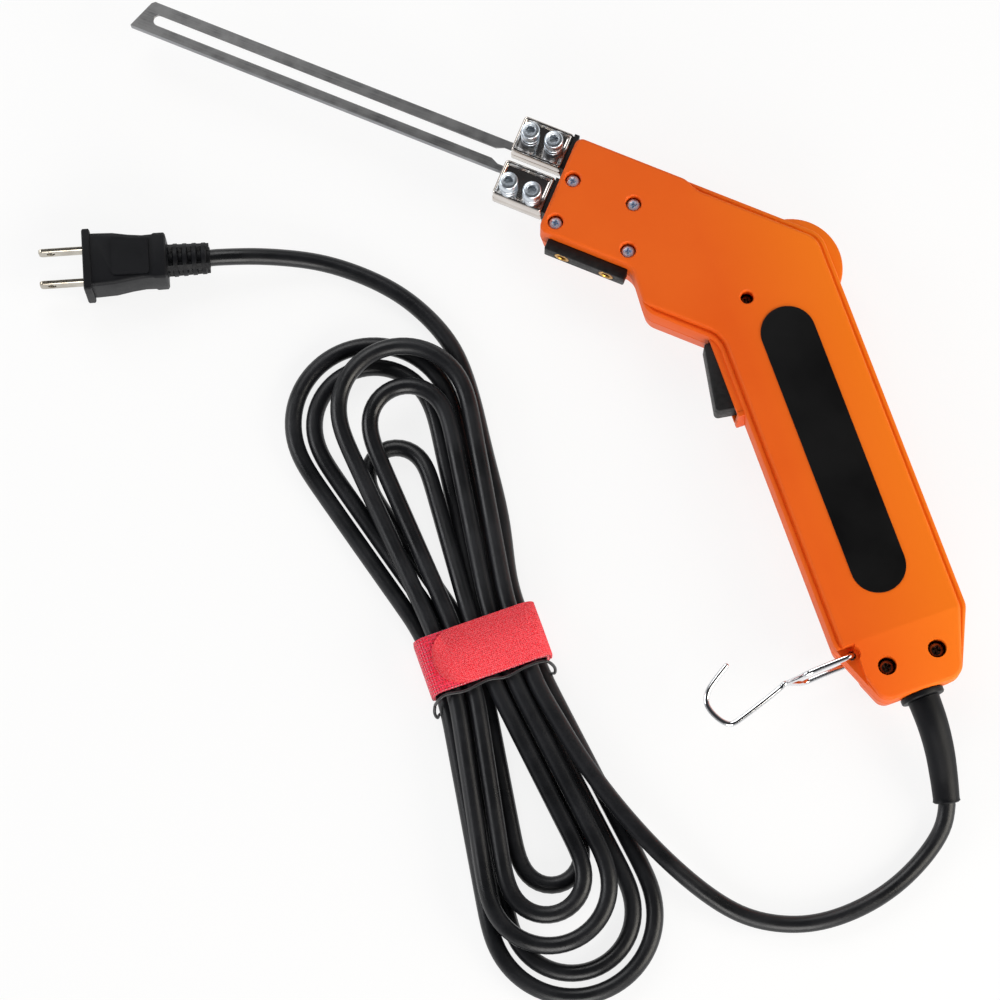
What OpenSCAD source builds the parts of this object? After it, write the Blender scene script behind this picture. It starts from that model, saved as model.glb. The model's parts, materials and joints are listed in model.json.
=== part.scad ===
// Electric hot knife lying on its far side, with its cord tied in a hank.
// Modelled in mm. X runs from the blade tip to the rear of the head, Y away from the handle, Z up.

/* [Housing] */
// Thickness over both faces
body_t = 30; // [29:0.5:34]
// Height of the seam between the halves
seam_z = 18; // [17.5:0.1:18.5]
// Wall thickness of the halves
wall = 2.5; // [2.2:0.1:2.8]
// Upper edge of the head above the axis
head_top = 19.8; // [19.4:0.1:24]
// Lower edge of the head below the axis
head_low = 20; // [19.6:0.1:22]
// Lower edge of the belly behind the guide bar
belly_low = 34; // [33.5:0.5:38]
// Width of the handle, front to back
handle_w = 51.6; // [50:0.1:56]
// Angle between the blade and the handle
handle_angle = 48; // [46:1:50]
// End of the handle, measured along it
handle_end = 227.3; // [222:0.1:245]
// Width of the ledge round the raised face
ledge_w = 2.5; // [1.5:0.1:3.5]
// Drop from the raised face to the ledge
ledge_h = 2; // [1:0.1:3]

/* [Blade and clamps] */
// Free length of the blade in front of the clamps
blade_len = 155; // [100:1:200]
// Width of the blade over both legs
blade_w = 13; // [11:0.1:13.2]
// Thickness of the blade
blade_t = 1.2; // [0.8:0.1:1.6]
// Width of the slot between the legs
slot_w = 4.3; // [3.4:0.1:5]
// Length of a clamp along the blade
clamp_len = 20.5; // [19:0.1:24]
// Width of a clamp
clamp_w = 14.8; // [13:0.1:15]

/* [Trigger and hook] */
// Furthest reach of the trigger in front of the handle
trigger_reach = 9.4; // [7:0.1:11]
// Width of the trigger
trigger_w = 12; // [9:0.1:13]
// Wire diameter of the hook
hook_wire_d = 2.2; // [1.8:0.1:2.6]

/* [Cord] */
// Diameter of the cord
cord_d = 6.5; // [5.5:0.1:6.7]
// Width of the strap round the hank
strap_w = 22; // [16:1:26]

/* [Hidden] */
$fn = 48;
eps = 0.01;
fit = 0.05;
arc_steps = 6;
ledge_z = body_t - ledge_h;
step_x = 38.3;
belly_x = 49.5;
handle_front = 35.5;
chamfer_w = 10.4;
chamfer_l = 24;
rebate_len = 23.7;
panel_start = 44;

tip_x = -clamp_len - 2 - blade_len;

// Screws: [x, y] from the front of the head
zinc_at = [[4.8, 3.2], [29.5, 3.2], [5, -14.7], [34.5, -14.6]];
belly_screw = [82.7, -14.7];
end_screws = [[handle_end - 12.2, handle_w / 2 - 9.8], [handle_end - 12.2, handle_w / 2 + 9.8]];
zinc_well_d = 6;
zinc_head_z = body_t - 5.4;
black_well_d = 7;
black_head_z = body_t - 7;
belly_well_d = 5;
screw_d = 3;
screw_tip_z = 4;

// Moulded block that holds the terminals
block_z0 = 6.9;
block_z1 = 22.2;

// Clamps, blade and terminals
blade_y = 5.4;
clamp_gap = 18.8;
upper_y = blade_y + clamp_gap / 2;
lower_y = blade_y - clamp_gap / 2;
clamp_x = -2 - clamp_len;
base_z = 12.5;
blade_top_z = 17.4;
plate_top_z = 23;
bar_w = 5;
bar_h = 4.6;
bar_z = base_z + 0.2;
upper_bar_y = 13.4;
lower_bar_y = lower_y;
bar_end_x = 44;
block_back_x = bar_end_x - 5;
neck_y = [-10.2, 16.8];
neck_z = [12.1, 21.9];
neck_gap = 0.2;
strip_z = [11, 23.6];
strip_t = 1.9;
cap_screw_d = 4;
cap_head_d = 7;
cap_head_h = 4.2;
washer_h = 1.1;
bush_d = 7.2;
bush_h = 4.6;
bush_top_z = plate_top_z + bush_h;
cap_seat_z = bush_top_z + washer_h;
cap_screw_x = [clamp_x + 5.4, clamp_x + clamp_len - 5.6];
upper_screw_y = upper_y - 0.6;
lower_screw_y = lower_y - 3.4;
tongue_w = 3;
tongue_len = 17;

// Guide bar
guide_x0 = 4.4;
guide_root = [8, 33];
guide_lip = 0.5;
guide_len = 32.4;
guide_out = 4.4;
guide_z0 = 16;
guide_h = 8;
insert_x = [11.6, 29.6];
insert_d = 6;
insert_len = 6;
insert_bore_d = 3.3;

// Trigger in handle coordinates: along the handle, across it from the front face
trigger_pivot = [79.5, 5.2];
trigger_z0 = seam_z - trigger_w / 2;
pin_d = 3;
trigger_back = 7.6;
window_t0 = 75.6;
window_t1 = 106;
trigger_t0 = window_t0 + 1;
trigger_t1 = window_t1 - 1.6;
trigger_eye_r = 3.3;
collar_out = 2.5;
collar_wall = 2;
plunger_d = 3;
plunger_c0 = 7.1;
switch_c0 = 12;
switch_c1 = 22;
switch_t0 = 84;
switch_t1 = 104;
plunger_t = switch_t1 - 6;
switch_half = 6;
spring_t = 89.5;

// The cord leaves the middle of the handle's end
relief_c = handle_w / 2;
relief_z = seam_z - 0.5;

// Hook in handle coordinates
hook_pivot = [handle_end - 20.4, 5.3];
hook_half = body_t - 3.5 - relief_z;
room = 0.4;
hook_pin_r = hook_wire_d / 2 - 0.12;
hook_side_c = hook_pivot[1] + 2;

function unit(v) = v / norm(v);
function on_axis(t, c) = [t * cos(handle_angle) + (handle_front + c) * sin(handle_angle),
    (handle_front + c) * cos(handle_angle) - t * sin(handle_angle)];
function left_of(v) = [-v[1], v[0]];

// A corner list [x, y, radius] turned into an outline with arcs
function corner_arc(p, c, q, r) =
    let (a = unit(p - c), b = unit(q - c), half = acos(max(-1, min(1, a * b))) / 2,
        mid = c + unit(a + b) * r / sin(half), from = c + a * r / tan(half) - mid,
        turn = cross(c - p, q - c) > 0 ? 1 : -1, sweep = 180 - 2 * half)
    [for (i = [0 : arc_steps]) let (w = turn * sweep * i / arc_steps)
        mid + [from[0] * cos(w) - from[1] * sin(w), from[0] * sin(w) + from[1] * cos(w)]];
function flat2(v) = [v[0], v[1]];
function outline(corners) = [for (i = [0 : len(corners) - 1])
    each corner_arc(flat2(corners[(i + len(corners) - 1) % len(corners)]), flat2(corners[i]),
        flat2(corners[(i + 1) % len(corners)]), corners[i][2])];

// The same corner list moved inward by d, for an anticlockwise outline
function inset(corners, d) = [for (i = [0 : len(corners) - 1])
    let (n = len(corners), c = flat2(corners[i]), e1 = unit(c - flat2(corners[(i + n - 1) % n])),
        e2 = unit(flat2(corners[(i + 1) % n]) - c), n1 = left_of(e1), n2 = left_of(e2),
        at = c + (n1 + n2) * d / (1 + n1 * n2), r = corners[i][2])
    [at[0], at[1], cross(e1, e2) > 0 ? max(r - d, 0.4) : r + d]];

front_foot = on_axis(handle_end - chamfer_l - 1.5, 0);
end_front = on_axis(handle_end, chamfer_w);
end_back = on_axis(handle_end, handle_w - chamfer_w);
back_foot = on_axis(handle_end - chamfer_l, handle_w);
function front_x(y, c) = (handle_front + c - y * cos(handle_angle)) / sin(handle_angle);
rear_x = front_x(head_top, handle_w);
crotch_x = front_x(-belly_low, 0);

case_corners = [[0, -head_low, 3], [step_x, -head_low, 6], [belly_x, -belly_low, 8],
    [crotch_x, -belly_low, 10],
    [front_foot[0], front_foot[1], 8], [end_front[0], end_front[1], 6], [end_back[0], end_back[1], 6],
    [back_foot[0], back_foot[1], 8], [rear_x, head_top, 10], [0, head_top, 3]];

panel_low = belly_low - ledge_w;
panel_top = head_top - ledge_w;
panel_foot = on_axis(handle_end - chamfer_l - 1.5, ledge_w);
panel_heel = on_axis(handle_end - chamfer_l, handle_w - ledge_w);
panel_x = step_x + (belly_x - step_x) * (panel_low - head_low) / (belly_low - head_low);
panel_corners = [[0, -head_low, 3], [step_x, -head_low, 6], [panel_x, -panel_low, 6],
    [front_x(-panel_low, ledge_w), -panel_low, 12],
    [panel_foot[0], panel_foot[1], 5], [end_front[0], end_front[1], 6], [end_back[0], end_back[1], 6],
    [panel_heel[0], panel_heel[1], 6], [front_x(panel_top, handle_w - ledge_w), panel_top, 9],
    [panel_start + 6, panel_top, 8], [panel_start, head_top, 8], [0, head_top, 3]];

// Stacked outlines [height, points] joined into one solid, each end fanned round an inner point
elbow = [75, -10];
module loft(rings) {
    n = len(rings[0][1]);
    m = len(rings);
    pts = concat([for (ring = rings) for (p = ring[1]) [p[0], p[1], ring[0]]],
        [[elbow[0], elbow[1], rings[0][0]], [elbow[0], elbow[1], rings[m - 1][0]]]);
    sides = [for (k = [0 : m - 2]) for (i = [0 : n - 1])
        let (j = (i + 1) % n) [k * n + i, (k + 1) * n + i, (k + 1) * n + j, k * n + j]];
    low = [for (i = [0 : n - 1]) [i, (i + 1) % n, m * n]];
    high = [for (i = [0 : n - 1]) [(m - 1) * n + (i + 1) % n, (m - 1) * n + i, m * n + 1]];
    polyhedron(pts, concat(low, sides, high));
}

// A tube of `sides` flats along 3-D points, its ends square to its first and last stretch
function heading(path, i) = unit(path[min(i + 1, len(path) - 1)] - path[max(i - 1, 0)]);
function ring_at(path, i, r, sides) =
    let (along = heading(path, i), aside = unit(cross(along, abs(along[2]) > 0.9 ? [1, 0, 0] : [0, 0, 1])),
        over = cross(aside, along))
    [for (k = [0 : sides - 1]) let (w = 360 * (k + 0.5) / sides)
        path[i] + aside * r * cos(w) + over * r * sin(w)];
function tube_points(path, r, sides, last_r) =
    [for (i = [0 : len(path) - 1]) each ring_at(path, i, r + (last_r - r) * i / (len(path) - 1), sides)];
module tube(path, r, sides, r_end = 0) {
    m = len(path);
    walls = [for (i = [0 : m - 2]) for (k = [0 : sides - 1]) let (j = (k + 1) % sides)
        [i * sides + k, i * sides + j, (i + 1) * sides + j, (i + 1) * sides + k]];
    first = [for (k = [sides - 1 : -1 : 0]) k];
    last = [for (k = [0 : sides - 1]) (m - 1) * sides + k];
    polyhedron(tube_points(path, r, sides, r_end > 0 ? r_end : r), concat([first], walls, [last]));
}

// A smooth run through hand-picked points
function spline_point(a, b, c, d, u) = 0.5 * (2 * b + (c - a) * u + (2 * a - 5 * b + 4 * c - d) * u * u
    + (3 * b - a - 3 * c + d) * u * u * u);
function smooth_run(p, steps) = concat([for (i = [0 : len(p) - 2]) for (k = [0 : steps - 1])
    spline_point(p[max(i - 1, 0)], p[i], p[i + 1], p[min(i + 2, len(p) - 1)], k / steps)], [p[len(p) - 1]]);
function run_length(p) = len(p) < 2 ? 0 : sum_steps(p, 0, 0);
function sum_steps(p, i, total) = i >= len(p) - 1 ? total
    : sum_steps(p, i + 1, total + norm(p[i + 1] - p[i]));

// Strain relief: a sleeve that bends down to the table
relief_r = 6.1;
relief_end_r = 4.9;
relief_sides = 16;
relief_flange_d = 16.6;
relief_flange_t = 2.4;
relief_hole_d = 9.4;
relief_path = [[handle_end + relief_flange_t, relief_c, relief_z], [handle_end + 12, relief_c, relief_z - 1],
    [handle_end + 22, relief_c - 0.6, relief_z - 4.5], [handle_end + 32, relief_c - 2.2, relief_z - 8.6],
    [handle_end + 40, relief_c - 4, relief_z - 11]];
relief_run = smooth_run(relief_path, 3);

// Hook: two legs from the pivot pins, joined into one shank that ends in an open curl
hook_leg = [[0.2, -2.2], [0.5, -10], [0.9, -17], [0.8, -20.5]];
hook_join = [0.3, -25.4];
hook_shank = [[0.3, -25.4], [1.3, -28], [4.1, -35.9], [7.2, -45.5]];
hook_curl = [[7.9, -48.5], [7.4, -50.8], [4.7, -53.3], [0.6, -55.2], [-3.1, -55.4], [-6.9, -53.1],
    [-10.2, -48.7], [-13.2, -43.9]];
hook_reach = [1, 1, 1, 0.62];
hook_sides = 10;
function hook_point(p, z) = [hook_pivot[0] + p[0], hook_pivot[1] + p[1], z];
function hook_side(side) = concat([hook_point([0, 0], relief_z + side * (hook_half - 1.4)),
    hook_point([0, -0.5], relief_z + side * (hook_half - 0.5))],
    [for (i = [0 : 3]) hook_point(hook_leg[i], relief_z + side * hook_half * hook_reach[i])]);
hook_line = [for (p = concat(hook_shank, hook_curl)) hook_point(p, relief_z)];
hook_run = concat(hook_side(-1), smooth_run(hook_line, 2));

// The middle of the base, cord left out, is the origin
disc_at = [rear_x - 5.9, head_top - 14.8];
disc_r = 19.4;
disc_z0 = 8;
disc_z1 = 22;
function from_handle(p) = [on_axis(p[0], p[1])[0], on_axis(p[0], p[1])[1], p[2]];
function in_handle(x, y, z) = [x * cos(handle_angle) - y * sin(handle_angle),
    x * sin(handle_angle) + y * cos(handle_angle) - handle_front, z];
relief_reach = [for (p = tube_points(relief_run, relief_r, relief_sides, relief_end_r)) from_handle(p)];
hook_extent = [for (p = tube_points(hook_run, hook_wire_d / 2, hook_sides, hook_wire_d / 2)) from_handle(p)];
right_x = max([for (p = relief_reach) p[0]]);
low_y = min(min([for (p = relief_reach) p[1]]), min([for (p = hook_extent) p[1]]));
shift_x = -(tip_x + right_x) / 2;
shift_y = -(low_y + disc_at[1] + disc_r) / 2;
echo(shift_x = shift_x, shift_y = shift_y);
module place() {
    translate([shift_x, shift_y, 0]) children();
}
module on_handle() {
    rotate([0, 0, -handle_angle]) translate([0, handle_front, 0]) children();
}
module post(at, d, z0, z1) {
    translate([at[0], at[1], z0]) cylinder(d = d, h = z1 - z0);
}
module block(x0, x1, y0, y1, z0, z1) {
    translate([x0, y0, z0]) cube([x1 - x0, y1 - y0, z1 - z0]);
}

// Shared cuts and bosses of the two halves
boss_d = 8;
end_boss_d = 9.6;
pin_boss_d = 7;
roof_z = body_t - wall;
floor_z = wall;
end_slope = 8;
module end_cut(drop) {
    on_handle() translate([handle_end - chamfer_l, -1, body_t - drop]) rotate([0, end_slope, 0])
        cube([40, handle_w + 2, 12 + drop]);
}
module hook_rebate(z0, z1) {
    on_handle() {
        block(handle_end - rebate_len, handle_end + 2, -6, hook_side_c, z0, z1);
        translate([hook_pivot[0], hook_pivot[1], z0]) cylinder(r = 3.1, h = z1 - z0);
    }
}
module hook_corner(draft, z0, z1) {
    intersection() {
        translate([0, 0, z0]) linear_extrude(z1 - z0) polygon(outline(inset(case_corners, draft)));
        on_handle() block(handle_end - rebate_len - wall, handle_end + 1, -1, hook_side_c + wall, z0, z1);
    }
}
module trigger_window() {
    on_handle() block(window_t0, window_t1, -8, 6, trigger_z0 - 0.5, trigger_z0 + trigger_w + 0.5);
}
module collar(z0, z1) {
    on_handle() block(window_t0 - collar_wall, window_t1 + collar_wall, -collar_out, wall, z0, z1);
}
module front_window() {
    block(-1, wall + 2, neck_y[0] - neck_gap, neck_y[1] + neck_gap,
        neck_z[0] - neck_gap, neck_z[1] + neck_gap);
}
module guide_window() {
    block(guide_root[0] - fit, guide_root[1] + fit, -head_low - 1, -head_low + wall + 2,
        guide_z0 + guide_lip - fit, guide_z0 + guide_h - guide_lip + fit);
}
module relief_hole() {
    on_handle() translate([handle_end + 1, relief_c, relief_z]) rotate([0, -90, 0])
        cylinder(d = relief_hole_d, h = wall + 4);
}
module pivot_bores() {
    on_handle() {
        translate([hook_pivot[0], hook_pivot[1], -eps]) cylinder(r = hook_pin_r + 0.07, h = body_t + 1);
        translate([trigger_pivot[0], trigger_pivot[1], floor_z + 1])
            cylinder(d = pin_d + 2 * fit, h = roof_z - floor_z - 2);
    }
}
module screw_bores() {
    for (at = zinc_at) post(at, screw_d + 0.2, screw_tip_z - 0.5, body_t + 1);
    post(belly_screw, screw_d + 0.2, screw_tip_z - 0.5, body_t + 1);
    on_handle() for (at = end_screws) post(at, screw_d + 0.2, screw_tip_z - 0.5, body_t + 1);
}

saddle_t0 = handle_end - 34;
saddle_t1 = handle_end - 26;
saddle_half = 12;
saddle_post = 8;
saddle_screw_d = 2.5;
saddle_at = [for (side = [-1, 1])
    [(saddle_t0 + saddle_t1) / 2, relief_c + side * (saddle_half - saddle_post / 2)]];

module near_shell() {
    place() color("#e8641f") difference() {
        union() {
            difference() {
                union() {
                    translate([0, 0, seam_z]) linear_extrude(ledge_z - seam_z) polygon(outline(case_corners));
                    translate([0, 0, ledge_z - eps]) linear_extrude(ledge_h + eps)
                        polygon(outline(panel_corners));
                    collar(seam_z + fit, trigger_z0 + trigger_w + collar_wall + 0.5);
                    translate([disc_at[0], disc_at[1], seam_z]) cylinder(r = disc_r, h = disc_z1 - seam_z);
                }
                difference() {
                    union() {
                        translate([0, 0, seam_z - eps]) linear_extrude(ledge_z - wall - seam_z)
                            polygon(outline(inset(case_corners, wall)));
                        translate([0, 0, seam_z]) linear_extrude(roof_z - seam_z)
                            polygon(outline(inset(panel_corners, wall)));
                    }
                    end_cut(wall);
                }
            }
            for (at = zinc_at) post(at, boss_d + 0.6, block_z1, roof_z + eps);
            post(belly_screw, boss_d + 0.6, seam_z, roof_z + eps);
            on_handle() for (at = end_screws) post(at, end_boss_d, seam_z, roof_z);
            on_handle() post(trigger_pivot, pin_boss_d, trigger_z0 + trigger_w + room, roof_z + eps);
            hook_corner(eps, seam_z + 2, roof_z + eps);
        }
        end_cut(0);
        hook_rebate(relief_z + hook_half - hook_wire_d / 2 - room, body_t + 1);
        trigger_window();
        front_window();
        guide_window();
        relief_hole();
        pivot_bores();
        screw_bores();
        for (at = zinc_at) post(at, zinc_well_d, zinc_head_z, body_t + 1);
        post(belly_screw, belly_well_d, black_head_z, body_t + 1);
        on_handle() for (at = end_screws) post(at, black_well_d, black_head_z, body_t + 1);
    }
}

// The far half narrows towards the face it lies on
far_rings = [[0, 5.2], [1.4, 3.4], [5, 1.6], [seam_z, 0]];
module far_shell() {
    place() color("#e8641f") difference() {
        union() {
            difference() {
                union() {
                    loft([for (r = far_rings) [r[0], outline(inset(case_corners, r[1]))]]);
                    collar(trigger_z0 - collar_wall - 0.5, seam_z - fit);
                    translate([disc_at[0], disc_at[1], disc_z0]) cylinder(r = disc_r, h = seam_z - disc_z0);
                }
                for (level = [[6, wall + 0.8], [floor_z, wall + 3.2]]) translate([0, 0, level[0]])
                    linear_extrude(seam_z) polygon(outline(inset(case_corners, level[1])));
            }
            for (at = zinc_at) post(at, boss_d, floor_z - eps, block_z0);
            post(belly_screw, boss_d, floor_z - eps, seam_z);
            on_handle() for (at = end_screws) post(at, boss_d + 0.4, floor_z - eps, seam_z);
            on_handle() post(trigger_pivot, pin_boss_d, floor_z - eps, trigger_z0 - room);
            hook_corner(1.7, floor_z - eps, seam_z - 2);
            on_handle() {
                block(saddle_t0, saddle_t1, relief_c - saddle_half, relief_c + saddle_half,
                    floor_z - eps, relief_z - cord_d / 2 - fit);
                for (c = [relief_c - saddle_half, relief_c + saddle_half - saddle_post])
                    block(saddle_t0, saddle_t1, c, c + saddle_post, floor_z, relief_z + 3);
                block(switch_t0, switch_t1, switch_c0, switch_c1, floor_z - eps, seam_z - switch_half - fit);
            }
        }
        block_body(fit, block_z0, seam_z + 1);
        hook_rebate(-1, relief_z - hook_half + hook_wire_d / 2 + room);
        trigger_window();
        front_window();
        guide_window();
        relief_hole();
        pivot_bores();
        screw_bores();
        on_handle() for (at = saddle_at) post(at, saddle_screw_d + 0.1, 8, seam_z + 5);
    }
}

label_t0 = 84.5;
label_t1 = 179;
label_r = 10.4;
module label_plate() {
    place() color("#141414") on_handle() translate([0, 0, body_t]) linear_extrude(0.4) union() {
        translate([label_t0, handle_w / 2]) circle(r = label_r);
        translate([label_t1, handle_w / 2]) circle(r = label_r);
        translate([label_t0, handle_w / 2 - label_r]) square([label_t1 - label_t0, 2 * label_r]);
    }
}

module cross_slot(at, reach, width, deep) {
    for (w = [0, 90]) translate(at) rotate([0, 0, w + 20]) cube([reach, width, deep], center = true);
}
module cross_screw(at, head_d, head_z, head_h) {
    difference() {
        union() {
            post(at, screw_d, screw_tip_z, head_z + eps);
            post(at, head_d, head_z, head_z + head_h);
        }
        cross_slot([at[0], at[1], head_z + head_h], head_d * 0.62, 0.8, 2);
    }
}
module zinc_screws() {
    place() color("#c9d1d6") for (at = zinc_at) cross_screw(at, zinc_well_d - 0.5, zinc_head_z, 2.2);
}
module black_screws() {
    place() color("#1b1b1d") {
        cross_screw(belly_screw, belly_well_d - 0.4, black_head_z, 2);
        on_handle() for (at = end_screws) cross_screw(at, black_well_d - 0.8, black_head_z, 2.2);
    }
}

module block_body(grow, z0, z1) {
    block(wall + 0.5 - grow, block_back_x + grow, -head_low + wall + 0.5 - grow,
        head_top - wall - 0.9 + grow, z0, z1);
}
module terminal_block() {
    place() color("#17181a") difference() {
        union() {
            block_body(0, block_z0, block_z1);
            block(-neck_gap, wall + 1, neck_y[0], neck_y[1], neck_z[0], neck_z[1]);
            for (y = [upper_y, lower_y]) block(-fit - strip_t, -fit, y - clamp_w / 2, y + clamp_w / 2,
                strip_z[0], strip_z[1]);
        }
        for (y = [upper_bar_y, lower_bar_y]) block(-3, block_back_x + 1,
            y - bar_w / 2 - fit, y + bar_w / 2 + fit, bar_z - fit, bar_z + bar_h + fit);
        for (at = zinc_at) post(at, screw_d + 0.2, 0, body_t);
        block(guide_root[0] - 1, guide_root[1] + 1, -head_low, -head_low + wall + 2.6,
            guide_z0, block_z1 + 1);
    }
}

// A terminal is a clamp base with a bar that runs back to the transformer
module terminal(y, bar_y, screw_y) {
    tongue_y = y > blade_y ? blade_y + blade_w / 2 - tongue_w / 2 : blade_y - blade_w / 2 + tongue_w / 2;
    difference() {
        union() {
            block(clamp_x, clamp_x + clamp_len, y - clamp_w / 2, y + clamp_w / 2, base_z, blade_top_z);
            block(clamp_x + clamp_len - 1, bar_end_x, bar_y - bar_w / 2, bar_y + bar_w / 2,
                bar_z, bar_z + bar_h);
        }
        for (x = cap_screw_x) post([x, screw_y], cap_screw_d + 0.1, base_z - 1, blade_top_z + 1);
        block(clamp_x - 1, clamp_x + tongue_len + 0.3,
            tongue_y - tongue_w / 2 - fit, tongue_y + tongue_w / 2 + fit,
            blade_top_z - blade_t - 0.02, blade_top_z + 1);
    }
}
module upper_terminal() {
    place() color("#c6c3bb") terminal(upper_y, upper_bar_y, upper_screw_y);
}
module lower_terminal() {
    place() color("#c6c3bb") terminal(lower_y, lower_bar_y, lower_screw_y);
}
module clamp_plate(y, screw_y) {
    difference() {
        block(clamp_x, clamp_x + clamp_len, y - clamp_w / 2, y + clamp_w / 2, blade_top_z, plate_top_z);
        for (x = cap_screw_x) post([x, screw_y], cap_screw_d + 0.3, blade_top_z - 1, plate_top_z + 1);
    }
}
module upper_clamp_plate() {
    place() color("#cfcdc6") clamp_plate(upper_y, upper_screw_y);
}
module lower_clamp_plate() {
    place() color("#cfcdc6") clamp_plate(lower_y, lower_screw_y);
}
module clamp_screws() {
    place() color("#b9c3cc") for (x = cap_screw_x) for (y = [upper_screw_y, lower_screw_y]) difference() {
        union() {
            post([x, y], cap_screw_d, base_z + 0.5, cap_seat_z + eps);
            post([x, y], cap_head_d, cap_seat_z, cap_seat_z + cap_head_h);
        }
        translate([x, y, cap_seat_z + cap_head_h - 2.2]) cylinder(d = 3.46, h = 3, $fn = 6);
    }
}
module clamp_bushes() {
    place() color("#b4bcc4") for (x = cap_screw_x) for (y = [upper_screw_y, lower_screw_y]) difference() {
        post([x, y], bush_d, plate_top_z, bush_top_z);
        post([x, y], cap_screw_d + 0.3, plate_top_z - 1, bush_top_z + 1);
    }
}
module spring_washers() {
    place() color("#9aa0a5") for (x = cap_screw_x) for (y = [upper_screw_y, lower_screw_y])
            translate([x, y, bush_top_z]) difference() {
        cylinder(d = cap_head_d - 0.2, h = washer_h);
        translate([0, 0, -1]) cylinder(d = cap_screw_d + 0.3, h = washer_h + 2);
        translate([2.6, 0, 0.5]) rotate([20, 0, 0]) cube([3, 0.5, 4], center = true);
    }
}

// One strip folded into two legs: slanted tip, slot between the legs, narrow tongues in the clamps
tip_slant = 4;
module blade() {
    low = blade_y - blade_w / 2;
    high = blade_y + blade_w / 2;
    leg = (blade_w - slot_w) / 2;
    place() color("#4c4b4a") translate([0, 0, blade_top_z - blade_t]) linear_extrude(blade_t) difference() {
        polygon([[tip_x, low + 0.8], [tip_x + 0.8, low], [clamp_x - 6, low], [clamp_x - 3, low],
            [clamp_x + tongue_len, low], [clamp_x + tongue_len, low + tongue_w],
            [clamp_x - 3, low + tongue_w], [clamp_x - 6, low + leg],
            [clamp_x - 6, high - leg], [clamp_x - 3, high - tongue_w],
            [clamp_x + tongue_len, high - tongue_w], [clamp_x + tongue_len, high],
            [tip_x + tip_slant + 1.2, high], [tip_x + tip_slant, high - 1]]);
        translate([tip_x + 9.5, blade_y]) circle(d = slot_w);
        translate([tip_x + 9.5, blade_y - slot_w / 2]) square([blade_len + 6, slot_w]);
    }
}

module guide_bar() {
    place() color("#18191b") difference() {
        union() {
            block(guide_x0, guide_x0 + guide_len, -head_low - guide_out, -head_low - 0.02,
                guide_z0, guide_z0 + guide_h);
            block(guide_root[0], guide_root[1], -head_low - 1, -head_low + wall + 0.6,
                guide_z0 + guide_lip, guide_z0 + guide_h - guide_lip);
        }
        for (x = insert_x) on_insert(x) translate([0, 0, -1])
            cylinder(d = insert_d + 0.04, h = insert_len + 1);
    }
}
module on_insert(x) {
    translate([x, -head_low - guide_out, guide_z0 + guide_h / 2]) rotate([-90, 0, 0]) children();
}
module guide_inserts() {
    place() color("#c79a45") for (x = insert_x) on_insert(x) difference() {
        cylinder(d = insert_d, h = insert_len);
        translate([0, 0, -1]) cylinder(d = insert_bore_d, h = insert_len + 2);
    }
}

// Trigger: a wedge that swings on a pin at its upper end
module trigger() {
    place() color("#202123") on_handle() difference() {
        translate([0, 0, trigger_z0]) linear_extrude(trigger_w) union() {
            polygon(outline([[trigger_t0, -trigger_reach / 2, 1.2], [trigger_t1 - 1.8, -trigger_reach, 1.6],
                [trigger_t1, 2, 1.5], [trigger_t1, 6, 0.8], [trigger_pivot[0] + 3.5, trigger_back, 1],
                [trigger_t0 - 0.2, trigger_back, 2]]));
            translate([trigger_pivot[0], trigger_pivot[1]]) circle(r = trigger_eye_r);
        }
        translate([trigger_pivot[0], trigger_pivot[1], 0]) cylinder(d = pin_d + 0.1, h = body_t);
    }
}
module trigger_pin() {
    place() color("#b8bcc0") on_handle() post(trigger_pivot, pin_d, floor_z + 1.2, roof_z - 1.2);
}
spring_r = 2.4;
spring_wire_r = 0.35;
spring_turns = 4;
spring_c0 = 7.9;
module trigger_spring() {
    steps = spring_turns * 8;
    path = [for (i = [0 : steps]) [spring_t + spring_r * cos(360 * i / 8),
        spring_c0 + (switch_c0 - 0.5 - spring_c0) * i / steps, seam_z + spring_r * sin(360 * i / 8)]];
    place() color("#a9adb1") on_handle() tube(path, spring_wire_r, 6);
}

module on_plunger(c) {
    translate([plunger_t, c, seam_z]) rotate([-90, 0, 0]) children();
}
module switch_body() {
    place() color("#26282b") on_handle() difference() {
        block(switch_t0, switch_t1, switch_c0, switch_c1, seam_z - switch_half, seam_z + switch_half);
        on_plunger(switch_c0 - 1) cylinder(d = plunger_d + 0.1, h = 8);
    }
}
module switch_plunger() {
    place() color("#b5442a") on_handle() on_plunger(plunger_c0) cylinder(d = plunger_d, h = 8.5);
}
tab_t = [87, 101];
module switch_tabs() {
    place() color("#c7a552") on_handle() for (t = tab_t)
        block(t - 0.4, t + 0.4, switch_c1, switch_c1 + 6, seam_z - 2.4, seam_z + 2.4);
}

// Transformer: a frame whose window takes the lower bar, coil on its far leg
core_x0 = 56;
core_x1 = 71;
core_z0 = 3.6;
core_z1 = body_t - 3.6;
leg_in = [2.2, 9.2];
leg_out = [-22, -15];
yoke = 6;
module transformer_core() {
    place() color("#7d8084") difference() {
        block(core_x0, core_x1, leg_out[0], leg_in[1], core_z0, core_z1);
        block(core_x0 - 1, core_x1 + 1, leg_out[1], leg_in[0], core_z0 + yoke, core_z1 - yoke);
    }
}
former_t = 0.9;
coil_t = 5;
former_z0 = core_z0 + yoke + 0.1;
former_z1 = core_z1 - yoke - 0.1;
module coil_ring(grow, hollow, z0, z1) {
    difference() {
        block(core_x0 - grow, core_x1 + grow, leg_out[0] - grow, leg_out[1] + grow, z0, z1);
        block(core_x0 - hollow, core_x1 + hollow, leg_out[0] - hollow, leg_out[1] + hollow, z0 - 1, z1 + 1);
    }
}
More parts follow.
